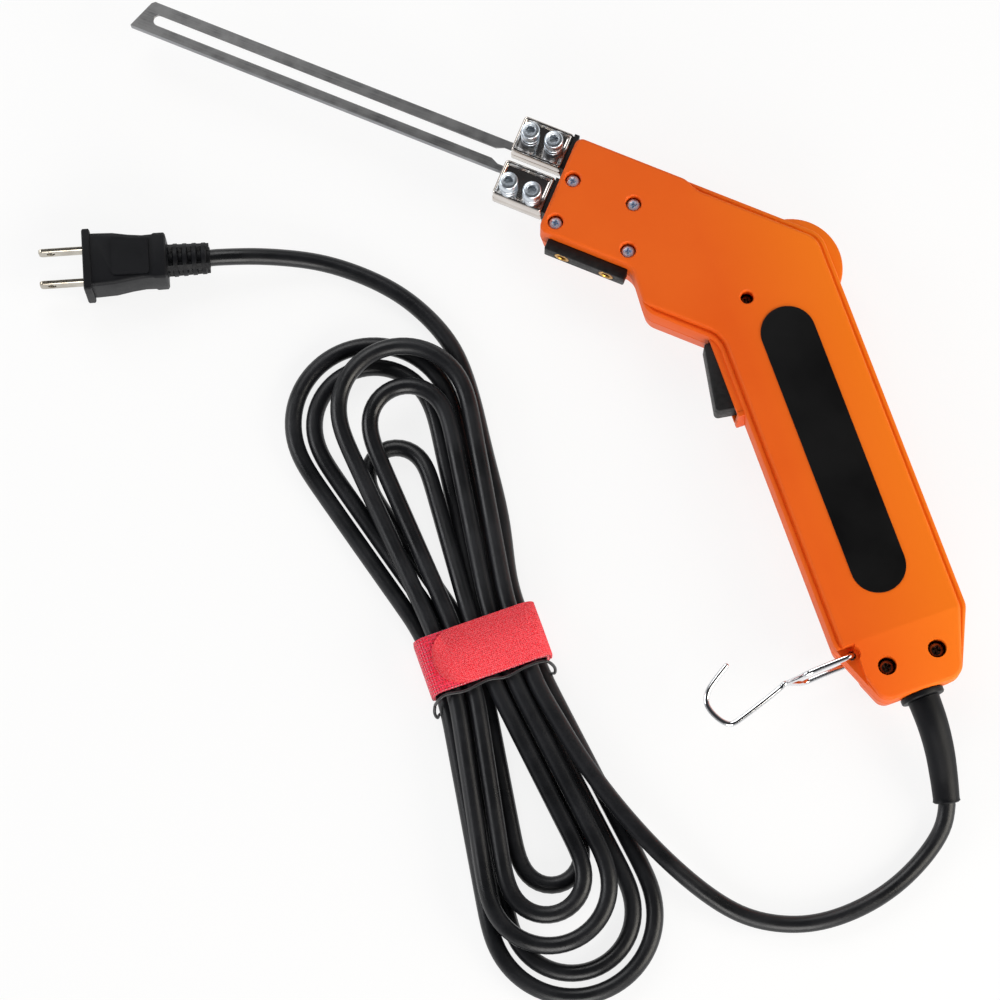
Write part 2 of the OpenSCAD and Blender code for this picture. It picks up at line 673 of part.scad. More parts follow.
module coil_former() {
    place() color("#d9cfa8") {
        coil_ring(0.1 + former_t, 0.1, former_z0, former_z1);
        coil_ring(former_t + coil_t, 0.1, former_z0, former_z0 + former_t);
        coil_ring(former_t + coil_t, 0.1, former_z1 - former_t, former_z1);
    }
}
module primary_winding() {
    place() color("#8a4a24") coil_ring(former_t + coil_t - 0.3, former_t + 0.15,
        former_z0 + former_t + fit, former_z1 - former_t - fit);
}
loop_x1 = 78;
module secondary_loop() {
    place() color("#b8683a") {
        for (y = [upper_bar_y, lower_bar_y])
            block(bar_end_x, loop_x1, y - bar_w / 2, y + bar_w / 2, bar_z, bar_z + bar_h);
        block(loop_x1 - bar_w, loop_x1, lower_bar_y - bar_w / 2, upper_bar_y + bar_w / 2,
            bar_z, bar_z + bar_h);
    }
}

saddle_z0 = relief_z + cord_d / 2 + fit;
saddle_z1 = saddle_z0 + 2.6;
module cord_saddle() {
    place() color("#d8d4c8") on_handle() difference() {
        block(saddle_t0, saddle_t1, relief_c - saddle_half + 0.5, relief_c + saddle_half - 0.5,
            saddle_z0, saddle_z1);
        for (at = saddle_at) post(at, saddle_screw_d + 0.2, 10, body_t);
    }
}
module saddle_screws() {
    place() color("#b9bec3") on_handle() for (at = saddle_at) difference() {
        union() {
            post(at, saddle_screw_d, 9, saddle_z1 + eps);
            post(at, 4.6, saddle_z1, saddle_z1 + 1.6);
        }
        cross_slot([at[0], at[1], saddle_z1 + 1.6], 2.8, 0.6, 1.2);
    }
}
inner_end = handle_end - 40;
module inner_cord() {
    place() color("#151617") on_handle() translate([inner_end, relief_c, relief_z]) rotate([0, 90, 0])
        cylinder(d = cord_d, h = handle_end - inner_end);
}

// Lead wires, each along a few points in handle coordinates
wire_r = 1.1;
tab_c = 25.5;
tab_face = 0.45;
coil_face_x = core_x1 + former_t + coil_t - 0.25;
coil_wire_end = in_handle(coil_face_x, -22, 15);
neutral_end = in_handle(coil_face_x, -10.6, 15);
plus_x = in_handle(4, 0, 0) - in_handle(0, 0, 0);
module wire_run(points) {
    tube(smooth_run(points, 3), wire_r, 6);
}
module line_wire() {
    c = relief_c - 1.6;
    place() color("#6b3f22") on_handle() wire_run([[inner_end, c, relief_z],
        [inner_end - 10, c, relief_z - 1], [inner_end - 22, c - 1.5, 13], [inner_end - 37, c - 3, 9],
        [inner_end - 52, c, 8],
        [tab_t[1] + 21, c + 2.5, 9], [tab_t[1] + 12, tab_c + 1.2, 12.5], [tab_t[1] + 5.2, tab_c, seam_z],
        [tab_t[1] + 2.6, tab_c, seam_z], [tab_t[1] + tab_face, tab_c, seam_z]]);
}
module neutral_wire() {
    c = relief_c + 1.6;
    place() color("#2f5fa8") on_handle() wire_run([[inner_end, c, relief_z],
        [inner_end - 10, c, relief_z - 1], [inner_end - 22, c + 2, 13], [inner_end - 37, c + 4, 9],
        [inner_end - 57, c + 6.6, 8],
        [inner_end - 77, c + 8.6, 8], [inner_end - 92, c + 8.6, 8], [inner_end - 107, c + 6.6, 9.5],
        [inner_end - 116, c + 4.1, 11.5], in_handle(91, -4, 13), in_handle(84.6, -7.2, 15),
        in_handle(79.6, -10.2, 15), neutral_end]);
}
module coil_wire() {
    place() color("#2b2b2d") on_handle() wire_run([[tab_t[0] - tab_face, tab_c, seam_z],
        [tab_t[0] - 2.4, tab_c, seam_z], [tab_t[0] - 4.8, tab_c - 0.4, seam_z], [78.5, 20, 17],
        [75, 14.5, 16], coil_wire_end + plus_x, coil_wire_end]);
}

module hook() {
    r = hook_wire_d / 2;
    place() color("#c9ccd0") on_handle() {
        for (side = [-1, 1]) translate([hook_pivot[0], hook_pivot[1], relief_z + side * (hook_half - 4.1)])
            cylinder(r = hook_pin_r, h = 5.8, center = true);
        tube(hook_run, r, hook_sides);
        tube(concat(hook_side(1), [hook_point(hook_join, relief_z)]), r, hook_sides, r * 0.7);
    }
}

module strain_relief() {
    place() color("#1c1d1f") on_handle() {
        translate([handle_end + 0.02, relief_c, relief_z]) rotate([0, 90, 0])
            cylinder(d = relief_flange_d, h = relief_flange_t);
        tube(relief_run, relief_r, relief_sides, relief_end_r);
    }
}

// Hank: u runs down the hank, v across it; half loops alternate below and above the strap
hank_at = [41, -174];
hank_turn = -48;
waist_u = 14;
lay_step = 7.35;
layer_z = [cord_d / 2 + 0.15, cord_d * 1.5 + 0.85];
waist_rise = 1.75;
rise_run = 46;
// Each half loop: [side, v in, v out, reach of its centre, radius, v of its centre, layer in, layer out]
half_loops = [
    [1, 2.5, -2.5, 103, 31, -1, 0, 0],
    [-1, -2.5, 1.5, 98, 31, -9, 0, 0],
    [1, 1.5, -1.5, 102, 23.5, -1, 0, 0],
    [-1, -1.5, 0.5, 97, 23.5, -9, 0, 0],
    [1, 0.5, -0.5, 80, 12.5, -1, 0, 0],
    [-1, -0.5, 0, 76, 12, -7.5, 0, 1],
    [1, 0, -1, 88, 15, -6, 1, 1],
    [-1, -1, 1, 92, 15.5, 3, 1, 1],
    [1, 1, -2, 91, 23, -6, 1, 1],
    [-1, -2, 2, 98, 25, 3, 1, 1]];
loop_arc = 7;
climb_from = 8;
function rise(u) = waist_rise * max(0, 1 - max(0, abs(u) - waist_u) / rise_run);
function half_loop(h) =
    let (side = h[0], p = [waist_u, h[1] * lay_step], q = [waist_u, h[2] * lay_step],
        mid = [h[3], h[5]], r = h[4],
        hand = h[1] > h[2] ? 1 : -1,
        dp = norm(mid - p), dq = norm(mid - q),
        wp = atan2(mid[1] - p[1], mid[0] - p[0]) + hand * asin(r / dp),
        wq = atan2(mid[1] - q[1], mid[0] - q[0]) - hand * asin(r / dq),
        tp = p + sqrt(dp * dp - r * r) * [cos(wp), sin(wp)],
        tq = q + sqrt(dq * dq - r * r) * [cos(wq), sin(wq)],
        ap = wp + hand * 90, aq = wq - hand * 90,
        flat = concat([p, p + (tp - p) / 3, p + (tp - p) * 2 / 3],
            [for (i = [0 : loop_arc - 1]) let (w = ap + (aq - ap) * i / (loop_arc - 1))
                mid + r * [cos(w), sin(w)]],
            [q + (tq - q) * 2 / 3, q + (tq - q) / 3, q]),
        n = len(flat))
    [for (i = [0 : n - 1]) let (climb = max(0, min(1, (i - climb_from) / (n - 1 - climb_from))))
        [side * flat[i][0], flat[i][1],
            layer_z[h[6]] + (layer_z[h[7]] - layer_z[h[6]]) * climb + rise(flat[i][0])]];
hank_start = [-waist_u, half_loops[0][1] * lay_step, layer_z[0] + waist_rise];
hank_stop = [waist_u, half_loops[9][2] * lay_step, layer_z[1] + waist_rise];
hank_path = concat([hank_start, hank_start + [cord_d, 0, 0], hank_start + [2 * waist_u - cord_d, 0, 0]],
    [for (h = half_loops) each half_loop(h)],
    [hank_stop - [2 * waist_u - cord_d, 0, 0], hank_stop - [cord_d, 0, 0], hank_stop]);
hank_fine = [for (i = [0 : len(hank_path) - 2]) for (k = [0 : 2])
    hank_path[i] + (hank_path[i + 1] - hank_path[i]) * k / 3];
least_gap = min([for (i = [0 : len(hank_fine) - 1]) for (j = [i + 8 : 1 : len(hank_fine) - 1])
    norm(hank_fine[i] - hank_fine[j])]) - cord_d;
echo(hank_gap = least_gap, hank_length = run_length(hank_path));

module on_hank() {
    translate([hank_at[0], hank_at[1], 0]) rotate([0, 0, hank_turn]) children();
}
function from_hank(p) = [hank_at[0] + p[0] * cos(hank_turn) - p[1] * sin(hank_turn),
    hank_at[1] + p[0] * sin(hank_turn) + p[1] * cos(hank_turn), p[2]];
module cord_hank() {
    place() color("#151617") on_hank() tube(hank_path, cord_d / 2, 6);
}

// Free stretches of the cord, through points picked by hand
plug_at = [-113, -72.6];
plug_turn = 206.5;
plug_z = 10;
plug_way = [cos(plug_turn), sin(plug_turn), 0];
relief_tip = relief_path[len(relief_path) - 1];
relief_way = unit(relief_tip - relief_path[len(relief_path) - 2]);
lead_gap = 0.3;
lead_start = from_handle(relief_tip + relief_way * lead_gap);
lead_way = from_handle(relief_tip + relief_way * (1 + lead_gap)) - lead_start;
lead_route = [[222, -180, 3.6], [216, -195, 3.6], [207, -208, 3.6], [195, -219, 3.6], [183, -225, 3.6],
    [168, -228, 4], [152, -226, 7], [135, -221, 10.8], [119, -214, 11.4], [104, -206, 11.4], [88, -196, 11.6],
    [73.5, -185, 12.2]];
lead_points = concat([for (k = [0, 0.5, 1]) lead_start + lead_way * cord_d * k], lead_route,
    [from_hank(hank_stop + [cord_d, 0, 0]), from_hank(hank_stop)]);
tail_end = [plug_at[0], plug_at[1], plug_z];
tail_route = [[36, -138, 4.8], [27, -122, 4], [11, -100, 3.6], [-3.5, -80, 3.6], [-18, -66, 3.6],
    [-42, -56.5, 3.6], [-70, -56, 4.4], [-92, -62.6, 7.6]];
tail_points = concat([from_hank(hank_start), from_hank(hank_start - [cord_d, 0, 0])], tail_route,
    [tail_end - plug_way * cord_d * 1.2, tail_end]);
lead_run = smooth_run(lead_points, 2);
tail_run = smooth_run(tail_points, 2);
echo(lead_length = run_length(lead_run), tail_length = run_length(tail_run));
module cord_lead() {
    place() color("#151617") tube(lead_run, cord_d / 2, 8);
}
module cord_tail() {
    place() color("#151617") tube(tail_run, cord_d / 2, 8);
}

// Plug: ribbed relief, waisted body, flange and two flat prongs
rib_len = 17.5;
plug_len = 45;
flange_t = 3;
prong_len = 17.3;
prong_gap = 12.7;
module on_plug() {
    translate([plug_at[0], plug_at[1], plug_z]) rotate([0, 0, plug_turn]) children();
}
plug_body_len = plug_len - rib_len + 1;
prong_t = 1.5;
prong_w = 6.35;
module plug_body() {
    place() color("#17181a") on_plug() difference() {
        union() {
            translate([0.02, 0, 0]) rotate([0, 90, 0]) cylinder(d = 8.6, h = rib_len);
            for (k = [0 : 4]) translate([1.4 + k * 3.6, 0, 0]) rotate([0, 90, 0])
                cylinder(d = 10.4 + k * 0.7, h = 2.2);
            translate([rib_len - 1, 0, -9]) linear_extrude(18) polygon(outline([[0, -9, 2], [9, -8.2, 8],
                [plug_body_len, -10.5, 0.6], [plug_body_len, 10.5, 0.6], [9, 8.2, 8], [0, 9, 2]]));
            translate([plug_len, -12, -plug_z]) cube([flange_t, 24, 2 * plug_z]);
        }
        for (y = [-prong_gap / 2, prong_gap / 2])
            translate([plug_len - 6, y - prong_t / 2 - fit, -prong_w / 2 - fit])
                cube([flange_t + 7, prong_t + 2 * fit, prong_w + 2 * fit]);
    }
}
module plug_prongs() {
    place() color("#bdb8ae") on_plug() for (y = [-prong_gap / 2, prong_gap / 2])
        translate([plug_len - 5.9, y - prong_t / 2, -prong_w / 2])
            cube([5.9 + flange_t + prong_len, prong_t, prong_w]);
}

// Strap and wire tie round the waist of the hank
strap_t = 1.4;
band_r = 3.6;
tongue_t = 1.1;
bundle_half = 2.5 * lay_step + cord_d / 2 + 0.3;
bundle_z0 = layer_z[0] + waist_rise - cord_d / 2 - 0.25;
bundle_z1 = layer_z[1] + waist_rise + cord_d / 2 + 0.25;
module band(u0, u1, t) {
    translate([u0, 0, 0]) rotate([90, 0, 90]) linear_extrude(u1 - u0) difference() {
        band_face(t, band_r + t);
        band_face(0, band_r);
    }
}
module band_face(grow, r) {
    w = bundle_half + grow;
    low = bundle_z0 - grow;
    high = bundle_z1 + grow;
    polygon(outline([[-w, low, r], [w, low, r], [w, high, r], [-w, high, r]]));
}
module strap() {
    side = strap_w / 2 - 0.6;
    from = 3 - bundle_half;
    to = bundle_half - 4;
    place() color("#e0475a") on_hank() union() {
        band(-strap_w / 2, strap_w / 2, strap_t);
        translate([0, 0, bundle_z1 + strap_t - eps]) linear_extrude(tongue_t)
            polygon(outline([[-side, from, 8], [side, from, 8], [side, to, 0.6], [-side, to, 0.6]]));
    }
}
module wire_tie() {
    place() color("#101112") on_hank() band(strap_w / 2 + 0.6, strap_w / 2 + 2, 1.2);
}

near_shell();
far_shell();
label_plate();
zinc_screws();
black_screws();
terminal_block();
upper_terminal();
lower_terminal();
upper_clamp_plate();
lower_clamp_plate();
clamp_screws();
clamp_bushes();
spring_washers();
blade();
guide_bar();
guide_inserts();
trigger();
trigger_pin();
trigger_spring();
switch_body();
switch_plunger();
switch_tabs();
transformer_core();
coil_former();
primary_winding();
secondary_loop();
cord_saddle();
saddle_screws();
inner_cord();
line_wire();
neutral_wire();
coil_wire();
hook();
strain_relief();
cord_lead();
cord_hank();
cord_tail();
plug_body();
plug_prongs();
strap();
wire_tie();
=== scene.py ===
"""Electric hot knife with its mains cord tied in a hank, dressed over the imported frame."""
import json
import logging
import math
from collections.abc import Callable, Mapping, Sequence
from dataclasses import dataclass
from enum import Enum

import bmesh
import bpy
from mathutils import Matrix, Vector

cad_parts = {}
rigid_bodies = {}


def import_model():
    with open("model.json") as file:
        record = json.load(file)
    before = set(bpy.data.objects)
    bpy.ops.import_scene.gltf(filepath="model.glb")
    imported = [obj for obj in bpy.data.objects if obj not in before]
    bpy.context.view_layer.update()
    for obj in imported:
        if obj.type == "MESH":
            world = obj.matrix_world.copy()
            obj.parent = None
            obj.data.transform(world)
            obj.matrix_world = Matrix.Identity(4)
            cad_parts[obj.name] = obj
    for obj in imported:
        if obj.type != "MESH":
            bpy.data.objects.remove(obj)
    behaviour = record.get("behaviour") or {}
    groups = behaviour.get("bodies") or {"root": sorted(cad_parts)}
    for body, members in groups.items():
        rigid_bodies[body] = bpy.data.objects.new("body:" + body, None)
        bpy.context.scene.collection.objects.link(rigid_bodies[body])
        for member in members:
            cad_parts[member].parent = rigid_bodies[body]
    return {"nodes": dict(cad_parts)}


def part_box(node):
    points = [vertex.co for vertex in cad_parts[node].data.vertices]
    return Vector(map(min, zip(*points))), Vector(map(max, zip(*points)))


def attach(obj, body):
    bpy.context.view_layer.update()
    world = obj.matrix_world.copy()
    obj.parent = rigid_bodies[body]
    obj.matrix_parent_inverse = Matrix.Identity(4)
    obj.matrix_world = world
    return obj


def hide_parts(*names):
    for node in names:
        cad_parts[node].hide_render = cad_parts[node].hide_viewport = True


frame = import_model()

Object, Socket = bpy.types.Object, bpy.types.NodeSocket
Sockets = Mapping[str, Socket]
Pair = tuple[float, float]
Triple = tuple[float, float, float]
Loop = list[Vector]
Place = Callable[[float, float, float], Vector]

LOG = logging.getLogger("hot_knife")
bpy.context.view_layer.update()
MM = 0.001
UP = Vector((0, 0, 1))
SOFT = 32.0  # degrees: edges below this are shaded softly
BLADE_TIP, BLADE_LOW, GUIDE_FACE = -177.5, -1.1, -24.4  # mm, in the maker's frame
HANDLE_END, HANDLE_W, FACE_TOP = 227.3, 51.6, 30.0  # mm, along, across and above the handle
HANDLE_Z = 17.5  # mm, the middle of the handle's thickness
HOOK_PIVOT = (HANDLE_END - 20.4, 5.3)
INSERT_X = (11.6, 29.6)
RELIEF_BEND = ((2.2, 0, 0), (12, 0, -1), (22, -0.6, -4.5), (32, -2.2, -8.6), (40, -4, -11))  # mm, off the end


def srgb(*values: int) -> Triple:
    """Turns red, green and blue on the 0 to 255 scale into linear light, each from 0 to 1."""
    shares = (value / 255.0 for value in values)
    return tuple(s / 12.92 if s <= 0.04045 else ((s + 0.055) / 1.055) ** 2.4 for s in shares)


@dataclass(frozen=True)
class ToolFrame:
    """The maker's frame in mm: X runs back from the front of the head, the handle lies at an angle to it."""

    shift_x: float
    shift_y: float
    handle_angle: float = math.radians(48.0)
    handle_front: float = 35.5

    @classmethod
    def from_nodes(cls) -> "ToolFrame":
        """Reads the place of the maker's frame off the blade's tip and the guide bar's face."""
        return cls(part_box("blade")[0][0] / MM - BLADE_TIP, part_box("guide_bar")[0][1] / MM - GUIDE_FACE)

    def at(self, x: float, y: float, z: float) -> Vector:
        """The row point, in metres, of a point given in mm."""
        return Vector(((x + self.shift_x) * MM, (y + self.shift_y) * MM, z * MM))

    def flat(self, along: float, across: float) -> Pair:
        """X and Y in mm of a point given along and across the handle."""
        turn, front = self.handle_angle, self.handle_front + across
        return (along * math.cos(turn) + front * math.sin(turn), front * math.cos(turn) - along * math.sin(turn))

    def grip(self, along: float, across: float, z: float) -> Vector:
        """The row point, in metres, of a point given along and across the handle in mm."""
        return self.at(*self.flat(along, across), z)


TOOL = ToolFrame.from_nodes()


def corner_arc(before: Vector, corner: Vector, after: Vector, radius: float, steps: int) -> Loop:
    """Rounds one corner of a flat outline.

    Args:
        before: The corner before it.
        corner: The corner itself.
        after: The corner after it.
        radius: Radius of the rounding.
        steps: How many chords the arc has.

    Returns:
        The points of the arc, in order.
    """
    a, b = (before - corner).normalized(), (after - corner).normalized()
    half = math.acos(max(-1.0, min(1.0, a.dot(b)))) / 2
    middle = corner + (a + b).normalized() * radius / math.sin(half)
    start = corner + a * radius / math.tan(half) - middle
    c, d = corner - before, after - corner
    turn = math.copysign(math.pi - 2 * half, c.x * d.y - c.y * d.x)
    return [middle + Vector((start.x * math.cos(w) - start.y * math.sin(w),
                             start.x * math.sin(w) + start.y * math.cos(w)))
            for w in (turn * i / steps for i in range(steps + 1))]


def outline(corners: Sequence[Triple], steps: int = 10) -> Loop:
    """Turns a list of corners (x, y, radius) into a closed outline with arcs.

    Args:
        corners: The corners, in order.
        steps: Chords of each arc.

    Returns:
        The points of the outline, in order.
    """
    points: Loop = []
    for i, (x, y, radius) in enumerate(corners):
        before, after = corners[i - 1], corners[(i + 1) % len(corners)]
        points += corner_arc(Vector(before[:2]), Vector((x, y)), Vector(after[:2]), radius, steps)
    return points


def inset(corners: Sequence[Triple], depth: float) -> list[Triple]:
    """Moves an anticlockwise list of corners inward by a depth, radii included.

    Args:
        corners: The corners (x, y, radius).
        depth: How far to move them.

    Returns:
        The moved corners.
    """
    moved = []
    for i, (x, y, radius) in enumerate(corners):
        here = Vector((x, y))
        e1 = (here - Vector(corners[i - 1][:2])).normalized()
        e2 = (Vector(corners[(i + 1) % len(corners)][:2]) - here).normalized()
        n1, n2 = Vector((-e1.y, e1.x)), Vector((-e2.y, e2.x))
        spot = here + (n1 + n2) * depth / (1 + n1.dot(n2))
        left = e1.x * e2.y - e1.y * e2.x > 0
        moved.append((spot.x, spot.y, max(radius - depth, 0.3) if left else radius + depth))
    return moved


def box(x0: float, y0: float, x1: float, y1: float, radius: float) -> list[Triple]:
    """Corners of a rectangle, anticlockwise, all with one radius."""
    return [(x0, y0, radius), (x1, y0, radius), (x1, y1, radius), (x0, y1, radius)]


def stack(corners: Sequence[Triple], levels: Sequence[Pair], steps: int = 10, place: Place = TOOL.at) -> list[Loop]:
    """Stacks a rounded outline at several levels.

    Args:
        corners: Corners (x, y, radius) in mm.
        levels: A height and an inset in mm for each loop.
        steps: Chords of each rounded corner.
        place: Gives the row point of x, y and height.

    Returns:
        One loop for each level.
    """
    return [[place(p.x, p.y, z) for p in outline(inset(corners, cut), steps)] for z, cut in levels]


def circle(count: int, first: float = 0.0) -> list[float]:
    """Even angles round a circle, the first one a share of a step from zero."""
    return [2 * math.pi * (k + first) / count for k in range(count)]


def smooth_run(points: Sequence[Vector], steps: int) -> Loop:
    """A smooth run through given points, with the same number of steps between each two.

    Args:
        points: The points to run through.
        steps: Steps between each two points.

    Returns:
        The points of the run.
    """
    run: Loop = []
    last = len(points) - 1
    for i in range(last):
        a, b, c, d = points[max(i - 1, 0)], points[i], points[i + 1], points[min(i + 2, last)]
        for u in (k / steps for k in range(steps)):
            run.append(0.5 * (2 * b + (c - a) * u + (2 * a - 5 * b + 4 * c - d) * u * u
                              + (3 * b - a - 3 * c + d) * u * u * u))
    return run + [points[last].copy()]


def run_length(points: Sequence[Vector]) -> float:
    """The length of a run of points."""
    return sum((b - a).length for a, b in zip(points, points[1:]))


class Shape:
    """A mesh in the making, in the row frame in metres."""

    def __init__(self) -> None:
        """Starts an empty mesh with a map for patterns that follow its surface."""
        self.bm = bmesh.new()
        self.uv = self.bm.loops.layers.uv.new("surface")

    def rings(self, loops: Sequence[Loop], closed: bool = False) -> "Shape":
        """Joins loops of equal length into one skin, mapped in real lengths.

        Args:
            loops: The loops, from one end to the other.
            closed: True if the last loop joins the first; otherwise both ends get a face.

        Returns:
            This shape.
        """
        rows = [[self.bm.verts.new(p) for p in loop] for loop in loops]
        n = len(rows[0])
        widest = max(([*loop, loop[0]] for loop in loops), key=run_length)
        around = [run_length(widest[:i + 1]) for i in range(n + 1)]
        gone = 0.0
        for a, b in list(zip(rows, rows[1:])) + ([(rows[-1], rows[0])] if closed else []):
            reached = gone + (b[0].co - a[0].co).length
            for i in range(n):
                j = (i + 1) % n
                face = self.bm.faces.new((a[i], a[j], b[j], b[i]))
                spots = [(around[k], v) for k, v in ((i, gone), (i + 1, gone), (i + 1, reached), (i, reached))]
                for corner, spot in zip(face.loops, spots):
                    corner[self.uv].uv = spot
            gone = reached
        if not closed:
            self.bm.faces.new(list(reversed(rows[0])))
            self.bm.faces.new(rows[-1])
        return self

    def tube(self, path: Sequence[Vector], radii: float | Sequence[float], sides: int) -> "Shape":
        """Adds a round tube along a path, its section carried along without twist.

        Args:
            path: Points of the middle line.
            radii: One radius, or one for each point.
            sides: Flats round the tube.

        Returns:
            This shape.
        """
        last = len(path) - 1
        sizes = [radii] * len(path) if isinstance(radii, (int, float)) else radii
        ways = [(path[min(i + 1, last)] - path[max(i - 1, 0)]).normalized() for i in range(last + 1)]
        aside = ways[0].cross(UP if abs(ways[0].z) < 0.9 else Vector((1, 0, 0))).normalized()
        loops = []
        for point, way, size in zip(path, ways, sizes):
            aside = (aside - way * aside.dot(way)).normalized()
            over = way.cross(aside)
            loops.append([point + (aside * math.cos(w) + over * math.sin(w)) * size for w in circle(sides, 0.5)])
        return self.rings(loops)

    def turned(self, profile: Sequence[Pair], base: Vector = Vector(), axis: Vector = UP, sides: int = 40,
               closed: bool = False) -> "Shape":
        """Adds a turned form.

        Args:
            profile: Pairs (radius, height) in mm, from the lower end to the upper one.
            base: Where height 0 is, in metres.
            axis: Direction of the height.
            sides: Flats round the form.
            closed: True for a ring, whose profile comes back to its start.

        Returns:
            This shape.
        """
        up = axis.normalized()
        aside = up.orthogonal().normalized()
        over = up.cross(aside)
        return self.rings([[base + (up * h + (aside * math.cos(w) + over * math.sin(w)) * r) * MM
                            for w in circle(sides)] for r, h in profile], closed)

    def block(self, low: Triple, high: Triple, place: Place = TOOL.at) -> "Shape":
        """Adds a plain block given by two corners in mm."""
        spots = ((low[0], low[1]), (high[0], low[1]), (high[0], high[1]), (low[0], high[1]))
        return self.rings([[place(x, y, z) for x, y in spots] for z in (low[2], high[2])])

    def piece(self, name: str, finish: "Finish | None" = None, smooth: float = SOFT) -> Object:
        """Turns the shape into an object at the origin, faces outward, with one finish."""
        bmesh.ops.recalc_face_normals(self.bm, faces=self.bm.faces[:])
        return put(name, to_mesh(name, self.bm, smooth), finish)


def shade(data: bpy.types.Mesh, smooth: float) -> None:
    """Shades a mesh softly except over edges sharper than an angle in degrees.

    Args:
        data: The mesh.
        smooth: The angle.
    """
    data.polygons.foreach_set("use_smooth", [True] * len(data.polygons))
    data.set_sharp_from_angle(angle=math.radians(smooth))
    data.update()


def to_mesh(name: str, form: bmesh.types.BMesh, smooth: float = SOFT) -> bpy.types.Mesh:
    """Turns a form, which is used up, into shaded mesh data.

    Args:
        name: Name of the mesh.
        form: The form.
        smooth: Angle in degrees below which edges are shaded softly.

    Returns:
        The mesh data.
    """
    data = bpy.data.meshes.new(name)
    form.to_mesh(data)
    form.free()
    shade(data, smooth)
    return data


def put(name: str, data: bpy.types.Mesh, finish: "Finish | None" = None) -> Object:
    """Links mesh data to the scene as an object at the origin.

    Args:
        name: Name of the object.
        data: Its mesh.
        finish: Its finish, if it has one yet.

    Returns:
        The object.
    """
    piece = bpy.data.objects.new(name, data)
    bpy.context.scene.collection.objects.link(piece)
    if finish is not None:
        data.materials.clear()
        data.materials.append(finish.material())
    return piece


def discard(piece: Object) -> None:
    """Removes an object and its mesh.

    Args:
        piece: The object.
    """
    data = piece.data
    bpy.data.objects.remove(piece)
    bpy.data.meshes.remove(data)


def settle(piece: Object, smooth: float = SOFT) -> None:
    """Bakes an object's modifiers into its mesh and removes them.

    Args:
        piece: The object.
        smooth: Angle in degrees below which edges are shaded softly.
    """
    bpy.context.view_layer.update()
    graph = bpy.context.evaluated_depsgraph_get()
    data, old = bpy.data.meshes.new_from_object(piece.evaluated_get(graph)), piece.data
    piece.modifiers.clear()
    piece.data = data
    bpy.data.meshes.remove(old)
    shade(data, smooth)


class Combine(Enum):
    """Ways to combine an object with other shapes."""

    CUT = "DIFFERENCE"
    FUSE = "UNION"


def carve(piece: Object, shapes: Sequence[Shape | Object], smooth: float = SOFT, how: Combine = Combine.CUT) -> None:
    """Cuts shapes out of an object, or fuses them with it.

    Args:
        piece: The object.
        shapes: Closed shapes or objects, which are used up.
        smooth: Angle in degrees below which the result is shaded softly.
        how: Whether to cut or to fuse.
    """
    tools = [shape.piece(f"tool_{i}") if isinstance(shape, Shape) else shape for i, shape in enumerate(shapes)]
    for tool in tools:
        step = piece.modifiers.new("combine", "BOOLEAN")
        step.operation, step.solver, step.object = how.value, "EXACT", tool
    settle(piece, smooth)
    for tool in tools:
        discard(tool)


def join(name: str, pieces: Sequence[Object], finish: "Finish") -> Object:
    """Makes one object of several, which are used up, with one finish.

    Args:
        name: Name of the object.
        pieces: The objects.
        finish: The finish.

    Returns:
        The new object.
    """
    both = bmesh.new()
    for piece in pieces:
        both.from_mesh(piece.data)
        discard(piece)
    return put(name, to_mesh(name, both), finish)


